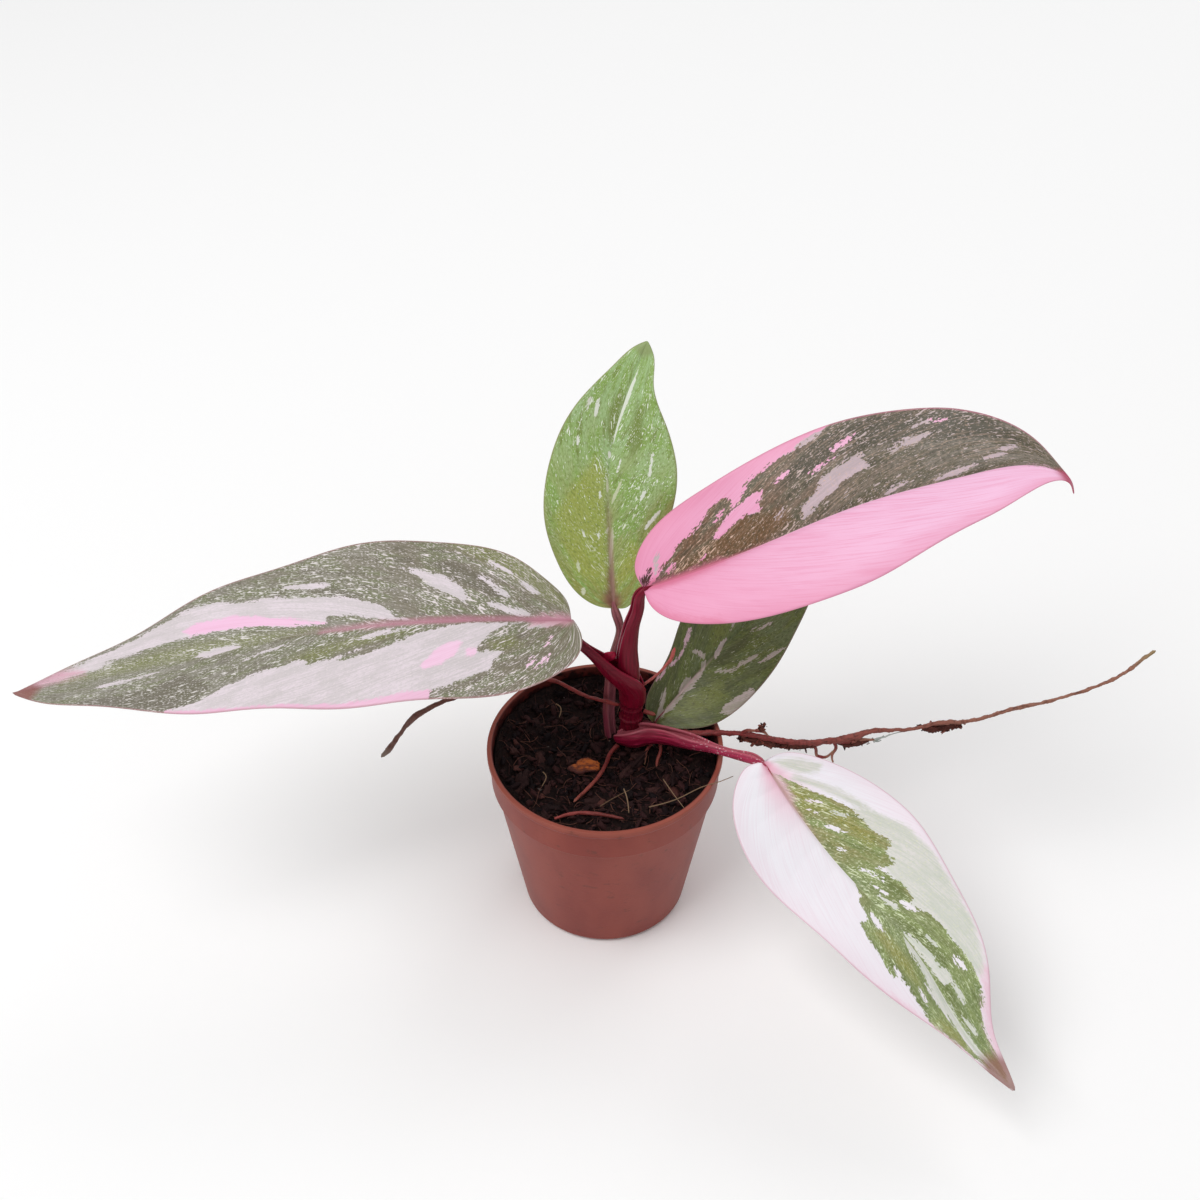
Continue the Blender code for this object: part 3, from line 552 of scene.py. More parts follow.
# %% Patches of the other three leaves
MARKS["white"] = {
    "ground": "pure",
    "patches": [
        ("pale", [(15, 22), (24, 44), (34, 62), (36, 74), (28, 66), (20, 52), (14, 36)]),
        ("pale", [(31, 52), (35, 72), (41, 88), (50, 97), (62, 98), (73, 96), (76, 86), (70, 62), (60, 36),
            (44, 40), (36, 46)]),
        ("pale", [(62, 4), (70, 34), (80, 56), (92, 62), (98.5, 50), (98.5, -50), (95, -42), (90, -55),
            (86, -42), (80, -46), (74, -28), (66, -12)]),
        ("pale", [(4, 36), (9, 30), (15, 42), (17.5, 66), (15, 88), (9, 82), (5, 60)]),
        ("green", [(50, 0), (53, -8), (54.4, -19), (57.5, -28), (57, -41), (60, -53), (63.75, -62.5),
            (68.75, -70), (69, -66), (72.5, -64), (77.5, -81), (78, -89), (80.6, -97), (86, -97), (90, -90),
            (94, -66), (96, -40), (93, -44), (90, -52), (86.6, -34), (86.25, -28), (81.25, -37.5),
            (77.5, -31), (73.75, -16), (68.75, -11), (67, -9), (65.6, 0)]),
        ("pure", [(57, -16), (60, -17), (63, -27), (60, -26)]),
        ("pure", [(67.5, -56), (70, -60), (70, -64), (68, -63)]),
        ("pure", [(74.5, -50), (77, -52), (78, -62), (76, -60)]),
        ("green", [(8.5, 0), (10, 9), (15, 16), (18.75, 27), (22, 34), (26, 41), (31.25, 50), (36.25, 56),
            (37.5, 53), (40.6, 55), (43.75, 62.5), (45, 61), (46.25, 48), (50, 53), (52, 55), (50, 48),
            (49, 31), (53.75, 42), (59, 45), (58.75, 28), (60, 30), (62.5, 50), (68.75, 66), (75, 80),
            (81.25, 86), (82.5, 77), (87.5, 75), (93, 80), (97, 60), (98, 10), (93, 16), (90, 6), (86, 3),
            (65, 0), (40, 0)]),
        ("pale", [(65, 2), (68.75, 14), (73.75, 25), (74.7, 34), (80, 47), (82.5, 45), (81.25, 36),
            (77.5, 30), (77, 17), (75, 6), (70.6, 2)]),
        ("pale", [(72, -2), (78, 0), (84, 5), (90, 8), (94, 14), (96, -10), (95, -36), (91, -46), (87, -37),
            (82, -30), (77, -16)]),
        ("dark", [(66, -50), (72, -58), (78, -72), (79, -88), (75, -80), (70, -70), (66, -62)]),
        ("dark", [(60, 6), (66, 26), (73, 45), (74.5, 32), (68, 14), (62, 2)]),
        ("dark", [(76, 4), (80, 26), (86, 36), (88, 20), (82, 6)]),
        ("dark", [(50, 26), (56, 42), (58.8, 38), (58, 28), (54, 22)]),
        ("fresh", [(13, 4), (20, 24), (32, 42), (42, 52), (44, 40), (30, 24), (26, 6)]),
        ("fresh", [(60, -38), (68, -48), (74, -44), (70, -26), (62, -22)]),
        ("fresh", [(80, -90), (87, -92), (90, -60), (86, -44), (82, -60)]),
        ("rose", [(0, 10), (8, 11), (15, 10), (22, 3), (22, 0), (0, 0)]),
        ("rose", [(73, 94), (78, 92), (84, 87), (91, 82), (95, 85), (92, 110), (74, 110)]),
        ("rose", [(50, -110), (60, -104), (70, -100), (80, -102), (88, -110)]),
    ],
    "streaks": [
        ("pure", 33, 16, 38, 30, .55), ("pure", 24, 17, 27, 30, .35), ("pure", 47, 16, 53, 28, .45),
        ("pure", 71.5, 52, 74.5, 66, .6), ("pure", 27, 11, 30, 19, .25), ("pure", 40, 12, 43, 17, .25),
        ("pale", 30, 30, 34, 42, .5), ("pale", 55, 10, 60, 20, .4), ("pale", 84, 20, 88, 40, .5),
        ("pure", 60, 28, 62, 42, .4), ("pale", 67, 28, 70, 36, .35), ("pure", 52, 14, 56, 20, .25),
    ],
}
MARKS["upright"] = {
    "ground": "green",
    "patches": [
        ("fresh", [(14, 14), (22, 70), (42, 85), (54, 60), (66, 30), (62, 6), (30, 5)]),
        ("fresh", [(14, -12), (28, -12), (36, -34), (30, -60), (20, -50)]),
        ("rose", [(0, -40), (5, -34), (10, -20), (15, -5), (24, 0), (24, 4), (15, 12), (10, 30), (5, 44),
            (0, 40)]),
        ("dark", [(71, 4), (74, 22), (80, 36), (86, 30), (84, 8), (78, 0)]),
        ("dark", [(66, -34), (74, -30), (84, -46), (80, -62), (70, -56)]),
    ],
    "streaks": [
        ("pure", 71, -1, 93, -11, .28), ("pure", 79, -5, 91, -10, .42), ("pale", 27, 3, 43, -5, .4),
        ("pale", 51, -4, 60, -22, .35), ("pure", 62, -12, 67, -20, .32), ("pure", 37, 38, 41, 43, .3),
        ("pure", 38, 18, 42, 20, .28), ("pure", 53, 13, 56, 17, .35), ("pure", 66.5, 2, 69, 5, .4),
        ("pure", 75, 56, 80, 76, .42), ("pure", 74.5, 78, 78, 89, .35), ("pure", 38, -57, 43, -80, .45),
        ("pure", 50, -47, 53.5, -55, .4), ("pure", 55, -59, 67, -74, .36), ("pale", 12, 88, 16, 70, .5),
        ("pale", 23, 62, 28, 60, .4), ("pure", 65.5, 65, 68, 70, .28), ("pale", 55, 2, 60, 3, .3),
        ("pale", 40, 6, 43, 2, .3),
    ],
}
MARKS["back"] = {
    "ground": "green",
    "patches": [
        ("pale", [(4, 2), (15, 2), (15, 18), (6, 18)]),
        ("pale", [(27, -2), (33, -3), (37, 5), (35, 15), (29, 12)]),
        ("pale", [(49, -5), (53, -3), (58, 8), (55, 11), (51, 6)]),
        ("pale", [(28, -80), (34, -77), (43, -90), (42, -110), (30, -110)]),
        ("fresh", [(14, -12), (30, -16), (42, -40), (36, -70), (20, -55)]),
        ("fresh", [(50, 12), (60, 10), (70, 30), (62, 48), (54, 36)]),
        ("dark", [(6, 30), (16, 34), (26, 64), (16, 85), (6, 70)]),
        ("dark", [(44, -4), (56, -10), (66, -20), (60, -34), (48, -22)]),
    ],
    "streaks": [
        ("pale", 10, -6, 30, -7, .45), ("pale", 30, -5, 42, -3, .7), ("pale", 42, -3, 46, 10, .6),
        ("pale", 46, 10, 45, 30, .7), ("pale", 45, 30, 42, 40, .5), ("pale", 10, 10, 22, 50, .6),
        ("pure", 18, 95, 27, 80, .4), ("pure", 27, 80, 33, 62, .5), ("pure", 33, 62, 39, 58, .4),
        ("pure", 39, 58, 45, 72, .5), ("pale", 44, -22, 49, -46, .45), ("pale", 48, -44, 57, -62, .5),
        ("pale", 53, -72, 63, -95, .5), ("pale", 60, 14, 70, 42, .35), ("pale", 64, -20, 72, -42, .35),
        ("pale", 56, 46, 64, 72, .35),
    ],
}
print("streaks:", {name: len(marks["streaks"]) for name, marks in MARKS.items()})

# %% [markdown]
# ## From patches to a smooth field
# A patch could be cut into the mesh, but its torn edge would need thousands of tiny faces. Instead each
# point of the mesh stores how many millimetres it lies inside the nearest patch, and the finish later
# frays that edge with noise. The distance to a patch is the shortest one to any of its sides.

# %% Patch fields
FAR = 9.0
EDGE_STEPS = 5
TINY = 1e-12
PERCENT = 100


def nearest_on(start, end, x, y):
    """For each place, the nearest share of the way along a side, and the distance to it."""
    run = end - start
    share = ((x - start[0]) * run[0] + (y - start[1]) * run[1]) / (run @ run + TINY)
    share = np.clip(share, 0, 1)
    return share, np.hypot(x - start[0] - share * run[0], y - start[1] - share * run[1])


def patch_depth(form, corners, x, y):
    """How far each flat place lies inside a patch, in millimetres; negative outside it."""
    corners = np.array(corners) / PERCENT
    following = np.roll(corners, -1, axis=0)
    share = np.linspace(0, 1, EDGE_STEPS, endpoint=False)[None, :, None]
    fine = (corners[:, None] * (1 - share) + following[:, None] * share).reshape(-1, 2)
    outline = np.stack(form.flat(np.clip(fine[:, 0], 0, 1), fine[:, 1]), axis=1)
    nearest = np.full(x.shape, FAR)
    inside = np.zeros(x.shape, bool)
    for start, end in zip(outline, np.roll(outline, -1, axis=0)):
        nearest = np.minimum(nearest, nearest_on(start, end, x, y)[1])
        if start[1] != end[1]:
            crossing = start[0] + (y - start[1]) * (end[0] - start[0]) / (end[1] - start[1])
            inside ^= ((start[1] > y) != (end[1] > y)) & (x < crossing)
    return np.where(inside, nearest, -nearest)


def streak_depth(form, ends, width, x, y):
    """The same for a slim streak that is widest at its middle."""
    start, end = (np.array(form.flat(*point)) for point in np.array(ends).reshape(2, 2) / PERCENT)
    share, away = nearest_on(start, end, x, y)
    return width * np.sqrt(4 * share * (1 - share)) - away


def painted(form, marks, x, y):
    """Paint all patches in order, and return how deep each place lies in each kind."""
    pure = np.full(x.shape, FAR if marks["ground"] == "pure" else -FAR)
    clear = pure.copy()
    tints = {kind: np.full(x.shape, -FAR) for kind in ("rose", "dark", "fresh")}
    layers = [(kind, patch_depth(form, corners, x, y)) for kind, corners in marks["patches"]]
    layers += [(kind, streak_depth(form, ends, width, x, y)) for kind, *ends, width in marks["streaks"]]
    for kind, depth in layers:
        if kind in tints:
            tints[kind] = np.maximum(tints[kind], depth)
        else:
            clear = np.minimum(clear, -depth) if kind == "green" else np.maximum(clear, depth)
            pure = np.maximum(pure, depth) if kind == "pure" else np.minimum(pure, -depth)
    return {"clear": clear, "pure": pure, **tints}


print("fields can be painted")

# %% [markdown]
# ## The leaf's finish
# The skin is satin, a little rougher than paint. The recipe lays colours over each other as the leaf
# does: green that changes from base to tip, fine flecks that follow the grain, the silvery half-tone,
# pure pink or white, then the flush at the base, the midrib, the margin and the tip. The grain leans
# forward like the patches, so every noise is read in stored grain places and stretched along them.

# %% Leaf finish
LEAF_ROUGHNESS = 0.42
LEAF_SHINE = 0.34
HEART_STRENGTH = 0.92
TIP_FADE = 0.4


def leaf_finish(name, look):
    mixture = Recipe("leaf_" + name, LEAF_ROUGHNESS, LEAF_SHINE)
    part, both, mix, lay, add = mixture.part, mixture.both, mixture.mix, mixture.lay, mixture.add
    stored, centred = mixture.stored, mixture.centred
    grain = stored("grain", "Vector")
    share, out, face = (stored(label) for label in ("share", "out", "face"))
    width = mixture.maths("ABSOLUTE", out)
    cloud = mixture.noise(grain, (0.09, 0.05, 1.0), 2.0)
    bloom = mixture.noise(grain, (0.30, 0.12, 4.0), 2.0, 0.55)
    fingers = mixture.noise(grain, (0.55, 0.15, 1.0), 2.0)
    crinkle = mixture.noise(grain, (1.9, 1.2, 1.0), 2.0, 0.6)
    dapple = mixture.noise(grain, (2.2, 1.0, 1.0), 3.0, 0.65)
    hair = mixture.noise(grain, (2.1, 0.07, 3.0), 3.0, 0.65)
    speck = mixture.noise(grain, (3.2, 1.5, 1.0), 1.0, 0.5)
    dash = mixture.noise(grain, (1.7, 0.42, 2.0), 2.0, 0.45)

    # near to far runs from base to tip; the pink leaf's far tint is partly painted sheen.
    leafy = lay(look["near"], look["far"], add(share, cloud), 0.55, 1.35)
    leafy = lay(leafy, look["second"], bloom, 0.42, 0.60)
    leafy = lay(leafy, look["deep"], fingers, 0.54, 0.68, top=0.6)
    leafy = lay(leafy, look["fresh"], stored("fresh"), -1.5, 1.5, top=0.8)
    leafy = lay(leafy, look["deep"], stored("dark"), -0.8, 0.8, top=0.75)
    leafy = lay(leafy, look["deep"], dapple, 0.48, 0.66, top=0.7)
    leafy = mix(both(part(dapple, 0.30, 0.45, 1.0, 0.0), look["mottle"]), leafy, look["fleck"])
    leafy = mix(both(part(hair, 0.50, 0.68), look["hair"]), leafy, look["fleck"])

    crowd = add(part(cloud, 0.35, 0.65, -0.03, 0.03), part(bloom, 0.35, 0.65, -0.03, 0.03))
    dots = part(add(speck, crowd), look["flecks"], look["flecks"] + 0.12, 0.0, 0.9)
    dashes = part(add(dash, crowd), look["dashes"], look["dashes"] + 0.05)
    fleck = lay(look["fleck"], look["fleck_far"], share, 0.25, 0.6)
    leafy = mix(both(mixture.maths("MAXIMUM", dots, dashes), 0.95), leafy, fleck)
    if look["heart"]:
        leafy = lay(leafy, look["heart"], share, 0.03, 0.17, HEART_STRENGTH, 0.0)

    fray = add(both(centred(fingers), 2.6), both(centred(crinkle), 2.3))
    fray = both(fray, part(width, 0.0, 0.09, 0.0, look["fray"]))
    clear = part(add(stored("clear"), fray), -0.05, 0.08)
    pure = part(add(stored("pure"), both(fray, 0.7)), -look["soft"], 0.6 * look["soft"])
    veil = lay(look["pale"], look["pale_deep"], crinkle, 0.44, 0.66, top=0.45)
    veil = lay(veil, look["pale_deep"], bloom, 0.42, 0.60, top=0.5)
    veil = lay(veil, look["pale_deep"], hair, 0.44, 0.62, top=0.6)
    veil = lay(veil, look["fleck"], speck, 0.60, 0.72, top=0.7)

    flesh = lay(look["pure"], look["pure_far"], add(share, both(cloud, 0.3)), 0.15, 1.0)
    flesh = lay(flesh, look["pure_deep"], hair, 0.42, 0.70, top=0.5)
    flesh = lay(flesh, look["rose"], width, 0.66, 1.02, top=look["margin_depth"])
    beside = both(part(width, 0.0, look["blush_wide"], 1.0, 0.0),
                  part(share, 0.06, look["blush_reach"], 1.0, 0.0))
    flesh = mix(both(beside, 0.85), flesh, look["blush"])
    colour = mix(clear, leafy, mix(pure, veil, flesh))
    colour = lay(colour, look["rose"], add(stored("rose"), fray), -1.5, 1.0, top=0.8)

    base = part(add(share, both(width, look["flush_lean"])), 0.01, look["flush_reach"], 1.0, 0.0)
    colour = mix(both(base, 0.8), colour, look["flush"])
    rib = both(part(width, 0.008, look["rib_wide"], 1.0, 0.0),
               part(share, look["rib_reach"] * 0.4, look["rib_reach"], 1.0, 0.0))
    colour = mix(both(rib, 0.75), colour, look["rib"])
    colour = lay(colour, look["margin"], width, 0.978, 0.998, top=0.6)
    tip_end = look["tip_from"] * (1 - TIP_FADE) + TIP_FADE
    colour = lay(colour, look["tip"], share, look["tip_from"], tip_end, top=0.85)
    colour = mix(part(face, 0.2, 0.8), mix(0.45, colour, look["under"]), colour)
    mixture.relief(add(dapple, both(hair, 0.8)), 0.05, 0.5)
    return mixture.colour(colour)


# %% [markdown]
# Each leaf has its own tints. They stand in one table, with a row for each tint or measure and a column
# for each leaf, because that way two leaves are easy to compare. The tints are the leaf's green parts
# first, then its silvery and its pure parts, then the flush, the ribs, the margin and the underside.
# Measures are shares of the leaf's length or width, or strengths from nought to one. "heart" darkens
# the green at the base, which only the pink leaf has.

# %% Looks of the five leaves
LOOK_LEAVES = ("pink", "left", "white", "upright", "back")
LOOK_ROWS = {
    "near": ((.15, .068, .03), (.195, .17, .118), (.33, .285, .11), (.3, .315, .075), (.08, .092, .02)),
    # The pink leaf's far tint is greyer partly as painted sheen, the sky's reflection on its satin skin.
    "far": ((.2, .178, .142), (.255, .245, .195), (.19, .25, .095), (.35, .52, .225), (.115, .15, .06)),
    "second": ((.128, .112, .072), (.185, .195, .108), (.25, .31, .11), (.26, .41, .1),
        (.105, .135, .028)),
    "deep": ((.05, .044, .024), (.14, .124, .09), (.13, .165, .045), (.17, .22, .045), (.05, .06, .018)),
    "fleck": ((.7, .47, .36), (.78, .7, .71), (.74, .75, .52), (.68, .72, .5), (.36, .37, .25)),
    "fleck_far": ((.54, .43, .42), (.72, .68, .66), (.66, .73, .48), (.82, .88, .74), (.36, .38, .28)),
    "fresh": ((.15, .072, .024), (.195, .21, .066), (.3, .29, .07), (.35, .395, .07), (.15, .175, .035)),
    "flecks": (.6, .575, .6, .615, .66),
    "dashes": (.64, .615, .63, .655, .685),
    "pale": ((.6, .46, .5), (.74, .65, .7), (.73, .71, .68), (.66, .68, .5), (.46, .38, .37)),
    "pale_deep": ((.46, .37, .39), (.55, .51, .51), (.56, .6, .51), (.5, .56, .32), (.27, .26, .19)),
    "soft": (.1, .45, .95, .2, .2),
    "pure": ((.83, .325, .51), (.89, .62, .78), (.895, .885, .935), (.78, .8, .72), (.6, .4, .46)),
    "pure_far": ((.88, .52, .72), (.86, .52, .72), (.87, .82, .88), (.74, .78, .68), (.55, .4, .44)),
    "pure_deep": ((.76, .245, .41), (.78, .42, .58), (.83, .72, .79), (.72, .74, .62), (.42, .28, .32)),
    "blush": ((.62, .11, .2), (.7, .36, .45), (.84, .44, .56), (.5, .4, .3), (.4, .2, .24)),
    "blush_reach": (.42, .3, .4, .2, .2),
    "blush_wide": (.22, .26, .55, .1, .1),
    "margin_depth": (.36, .3, .22, .3, .3),
    "flush": ((.45, .06, .12), (.4, .15, .2), (.74, .28, .38), (.2, .048, .05), (.14, .035, .045)),
    "flush_reach": (.055, .06, .14, .19, .08),
    "flush_lean": (.12, .1, .22, .2, .05),
    "rib": ((.5, .12, .18), (.44, .18, .24), (.5, .3, .28), (.34, .2, .16), (.44, .32, .31)),
    "rib_reach": (.5, .66, .42, .66, .6),
    "rib_wide": (.035, .075, .05, .085, .045),
    "margin": ((.62, .24, .33), (.46, .24, .26), (.64, .36, .44), (.28, .28, .12), (.24, .14, .13)),
    "tip": ((.42, .02, .07), (.26, .09, .08), (.27, .12, .09), (.26, .32, .13), (.14, .08, .06)),
    "tip_from": (.935, .955, .905, .95, .95),
    "rose": ((.72, .2, .34), (.66, .32, .42), (.8, .52, .62), (.27, .105, .09), (.3, .12, .12)),
    "mottle": (.4, .4, .45, .34, .22),
    "hair": (.25, .12, .2, .08, .12),
    "heart": ((.06, .01, .014), None, None, None, None),
    "under": ((.62, .22, .3), (.36, .24, .22), (.66, .5, .52), (.3, .2, .12), (.16, .11, .08)),
    "fray": (1, 1, 1, .35, .8),
}
LOOKS = {name: {label: row[i] for label, row in LOOK_ROWS.items()} for i, name in enumerate(LOOK_LEAVES)}
leaf_finishes = {name: leaf_finish(name, look) for name, look in LOOKS.items()}
print("leaf finishes:", sorted(leaf_finishes))

# %% [markdown]
# ## The leaf blades
# A real blade is under half a millimetre thick. Its upper face has a fine channel over the midrib and
# shallow grooves over the side veins; below, the midrib stands out as a rounded rib. Every cross row is
# one closed ring: over the upper face, round the thin margin, and back below.

# %% Blades
LEAF_ROWS = 230
LEAF_COLUMNS = 30
LEAF_HALF_THICK = 0.2
MARGIN_HALF_THICK = 0.11
SIDE_VEINS = 15
VEIN_DEPTH = 0.06
CHANNEL_DEPTH = 0.4
CHANNEL_WIDTH = 0.95
RIB_WIDTH = 1.15
GRAIN_LEAN = 2.6
HALVES_APART = 30.0


def leaf_relief(form, leaf, s, t, y):
    """How far the upper and the lower face lie from the middle of the blade."""
    out = np.abs(t)
    thick = LEAF_HALF_THICK + (MARGIN_HALF_THICK - LEAF_HALF_THICK) * out**2
    shifted = s * SIDE_VEINS + 0.22 * np.sin(9 * s) + 0.5 * (t < 0)
    groove = (0.5 + 0.5 * np.cos(2 * math.pi * shifted))**5
    swell = 0.5 - 0.5 * np.cos(2 * math.pi * shifted)
    fade = np.clip(out / 0.06, 0, 1) * (1 - out**3) * np.clip(1.15 - s, 0, 1)
    veins = VEIN_DEPTH * fade * (0.8 * swell - groove)
    narrow = 1 - 0.65 * s
    channel = CHANNEL_DEPTH * np.exp(-(y / (CHANNEL_WIDTH * narrow))**2) * (1 - 0.7 * s)
    rib = leaf["rib"] * (1 - 0.85 * s) * np.exp(-(y / (RIB_WIDTH * narrow))**2)
    return thick + veins - channel, -thick + 0.7 * veins - rib


def leaf_piece(name):
    leaf, form = LEAVES[name], forms[name]
    share = np.linspace(0, 1, LEAF_ROWS + 1)[1:-1]
    out = np.linspace(0, 1, LEAF_COLUMNS + 1)**1.3
    signed = np.concatenate([out[::-1], -out[1:]])
    s, t = np.meshgrid(share, signed, indexing="ij")
    x, y = form.flat(s, t)
    point, normal = form.bend(x, y, np.abs(t))
    high, low = leaf_relief(form, leaf, s, t, y)
    upper = point + normal * high[..., None]
    lower = point + normal * low[..., None]
    sideways = unit(point[:, [0, -1]] - point[:, [1, -2]]) * MARGIN_HALF_THICK
    rims = point[:, [0, -1]] + sideways
    rings = np.concatenate([upper, rims[:, 1:], lower[:, ::-1], rims[:, :1]], axis=1)
    ends = form.bend(np.array([0.0, form.length]), np.zeros(2), np.zeros(2))[0]
    points, faces = closed(rings, ends)

    def around(values, first, last):
        """Carry the values of the grid round each ring, and on to both end points."""
        ring = np.concatenate([values, values[:, -1:], values[:, ::-1], values[:, :1]], axis=1)
        return np.concatenate([ring.ravel(), [first, last]])

    fields = painted(form, MARKS[name], x, y)
    wide = np.mean(np.abs(y[:, [0, -1]]), axis=1).max()
    lean = (np.abs(t) - GRAIN_LEAN * s) * wide
    faces_up = np.concatenate([np.ones(len(signed) + 1), np.zeros(len(signed) + 1)])
    face = np.concatenate([np.tile(faces_up, len(share)), [1, 1]])
    grain = np.stack([around(lean, 0, 0), around(x, 0, form.length), around(HALVES_APART * (t < 0), 0, 0)],
                     axis=1)
    stored = {
        **{kind: around(depth, depth[0, 0], depth[-1, 0]) for kind, depth in fields.items()},
        "share": around(s, 0, 1), "out": around(t, 0, 0), "face": face, "grain": grain,
    }
    add_piece("leaf_" + name, points, faces, leaf_finishes[name], ["blade_" + name], stored)


for name in LEAVES:
    leaf_piece(name)

# %% [markdown]
# ## The leaf stalks
# A philodendron stalk is round with a groove along its upper side, and its foot opens to a sheath that
# clasps the stem. A swept circle can't change like that, so each section along the path is drawn anew:
# outer arc, rounded lip, inner floor, and back. The rows give x, y, z, radius, the half opening in
# degrees, the thickness of the edge and the floor of the groove as a share of the radius. The groove
# turns from one side at the base to another at the top, and "sink" tucks the end deeper into its leaf.

# %% Stalk tables
STALKS = {
    "pink": {
        "path": [(6.2, 7.1, 56.6, 1.9, 30, 0.8, 0.7), (6.0, 7.2, 60.5, 2.0, 30, 0.8, 0.7),
                 (5.6, 7.3, 63.6, 2.4, 28, 0.8, 0.7), (5.1, 7.5, 67.2, 2.65, 28, 0.8, 0.65),
                 (5.0, 7.7, 71, 2.4, 28, 0.8, 0.65), (5.4, 7.8, 75.3, 2.05, 30, 0.7, 0.65),
                 (6.1, 7.6, 79.9, 1.8, 32, 0.6, 0.6), (7.1, 7.4, 84.4, 1.6, 36, 0.5, 0.6),
                 (8.3, 7, 89.9, 1.0, 40, 0.4, 0.6)],
        "open_at_base": (-1, -0.3, 0),
        "open_at_top": (-1, -0.3, 0),
    },
    "left": {
        "path": [(6.4, 6.9, 56, 3.0, 25, 0.7, -0.76), (6.4, 6.9, 59.5, 3.15, 26, 0.7, -0.76),
                 (5.2, 6.4, 62.8, 3.1, 38, 0.7, -0.7), (2.4, 5.7, 66.4, 2.75, 52, 0.7, -0.5),
                 (-0.6, 5.1, 70.2, 1.95, 52, 0.6, 0), (-3.4, 4.6, 73.6, 1.35, 42, 0.5, 0.5),
                 (-6.3, 5.1, 76.7, 1.1, 40, 0.45, 0.6), (-7.5, 5.4, 80, 1.0, 40, 0.4, 0.6),
                 (-7.9, 5.3, 81.3, 0.8, 40, 0.4, 0.6)],
        "sink": 0.3,
        "open_at_base": (1, 0.15, 0),
        "open_at_top": (0.8, 0.2, 0.6),
    },
    "upright": {
        "path": [(1.0, 8.4, 30, 1.0, 40, 0.45, 0.6), (1.4, 8.4, 42, 1.35, 42, 0.5, 0.5),
                 (0.9, 9.2, 50, 1.42, 42, 0.5, 0.5), (1.2, 10.2, 57, 1.35, 42, 0.5, 0.5),
                 (1.7, 11.4, 64.1, 1.15, 40, 0.5, 0.55), (2.9, 12.7, 69, 1.0, 40, 0.45, 0.6),
                 (3.4, 13.6, 72.4, 0.95, 40, 0.4, 0.6), (2.2, 14.5, 77.4, 0.9, 40, 0.4, 0.6)],
        "open_at_base": (0.8, -0.6, 0),
        "open_at_top": (0, -1, 0.1),
    },
    "back": {
        "path": [(8.4, 11.2, 34, 0.9, 40, 0.4, 0.6), (8.9, 11.0, 41, 1.1, 40, 0.45, 0.6),
                 (9.7, 9.6, 45, 1.0, 40, 0.4, 0.6), (11, 7.6, 47.1, 0.8, 40, 0.35, 0.6)],
        "open_at_base": (-0.6, -0.8, 0.2),
        "open_at_top": (-0.4, -0.4, 0.8),
    },
    "white": {
        "path": [(2.7, 4.2, 46.6, 1.5, 60, 0.5, 0.3), (5.8, 3.4, 47.9, 2.9, 62, 0.6, 0.2),
                 (10.5, 2.7, 49.1, 2.5, 40, 0.7, 0.1), (16, 0.5, 50.2, 2.1, 42, 0.7, 0.2),
                 (20.5, -1.9, 51, 1.9, 55, 0.6, 0.1), (23.5, -3.6, 51.4, 1.4, 45, 0.5, 0.5),
                 (30, -6.9, 52.1, 1.15, 40, 0.5, 0.55), (35, -9.4, 52.5, 1.05, 40, 0.4, 0.6)],
        "open_at_base": (0, 0.3, 0.95),
        "open_at_top": (0.1, 0.2, 0.97),
    },
}
print(len(STALKS), "stalks")

# %% [markdown]
# One section is a ring of points seen end on. Where the groove is shallow its floor is cut level, and
# where it is deep the ring is a bent sheet. Each edge ends in a small half circle, because a real edge
# is soft and catches the light as a thin line.

# %% Stalk sections
ARC_POINTS = 25
LIP_POINTS = 4
NARROWEST_FLOOR = 0.2


def stalk_section(radius, opening, edge, floor):
    """One closed section: outer arc, rounded lip, inner arc or floor, and the other lip."""
    turn = np.radians(np.linspace(90 + opening, 450 - opening, ARC_POINTS))
    circle = np.stack([np.cos(turn), np.sin(turn)], axis=1)
    outer = radius * circle
    inside = radius - edge
    inner = inside * circle
    level = floor * radius
    if level > -inside:
        low = inner[:, 1] < level
        half_floor = math.sqrt(max(inside**2 - level**2, NARROWEST_FLOOR**2))
        inner[low, 0] = np.linspace(-half_floor, half_floor, np.count_nonzero(low))
        inner[low, 1] = level
    lips = []
    for start, end, (x, y), forward in ((outer[-1], inner[-1], circle[-1], 1),
                                        (inner[0], outer[0], circle[0], -1)):
        angle = np.linspace(0, math.pi, LIP_POINTS + 2)[1:-1, None]
        middle, reach = (start + end) / 2, (start - end) / 2
        tangent = forward * np.array([-y, x])
        lips.append(middle + reach * np.cos(angle) + tangent * np.linalg.norm(reach) * np.sin(angle))
    return np.vstack([outer, lips[0], inner[::-1], lips[1]])


print("a section has", 2 * (ARC_POINTS + LIP_POINTS), "points")

# %% [markdown]
# The sections are set along the stalk's path, each turned so that its groove faces the right way. Fine
# lengthwise ridges come from a small wave round the outer side only. The same loft also stores how far
# each point lies along and round the stalk, so that streaks in the finish can follow it.

# %% Stalk lofts
STALK_ROWS = 150
LEAST_RADIUS = 0.15
LEAST_EDGE = 0.1


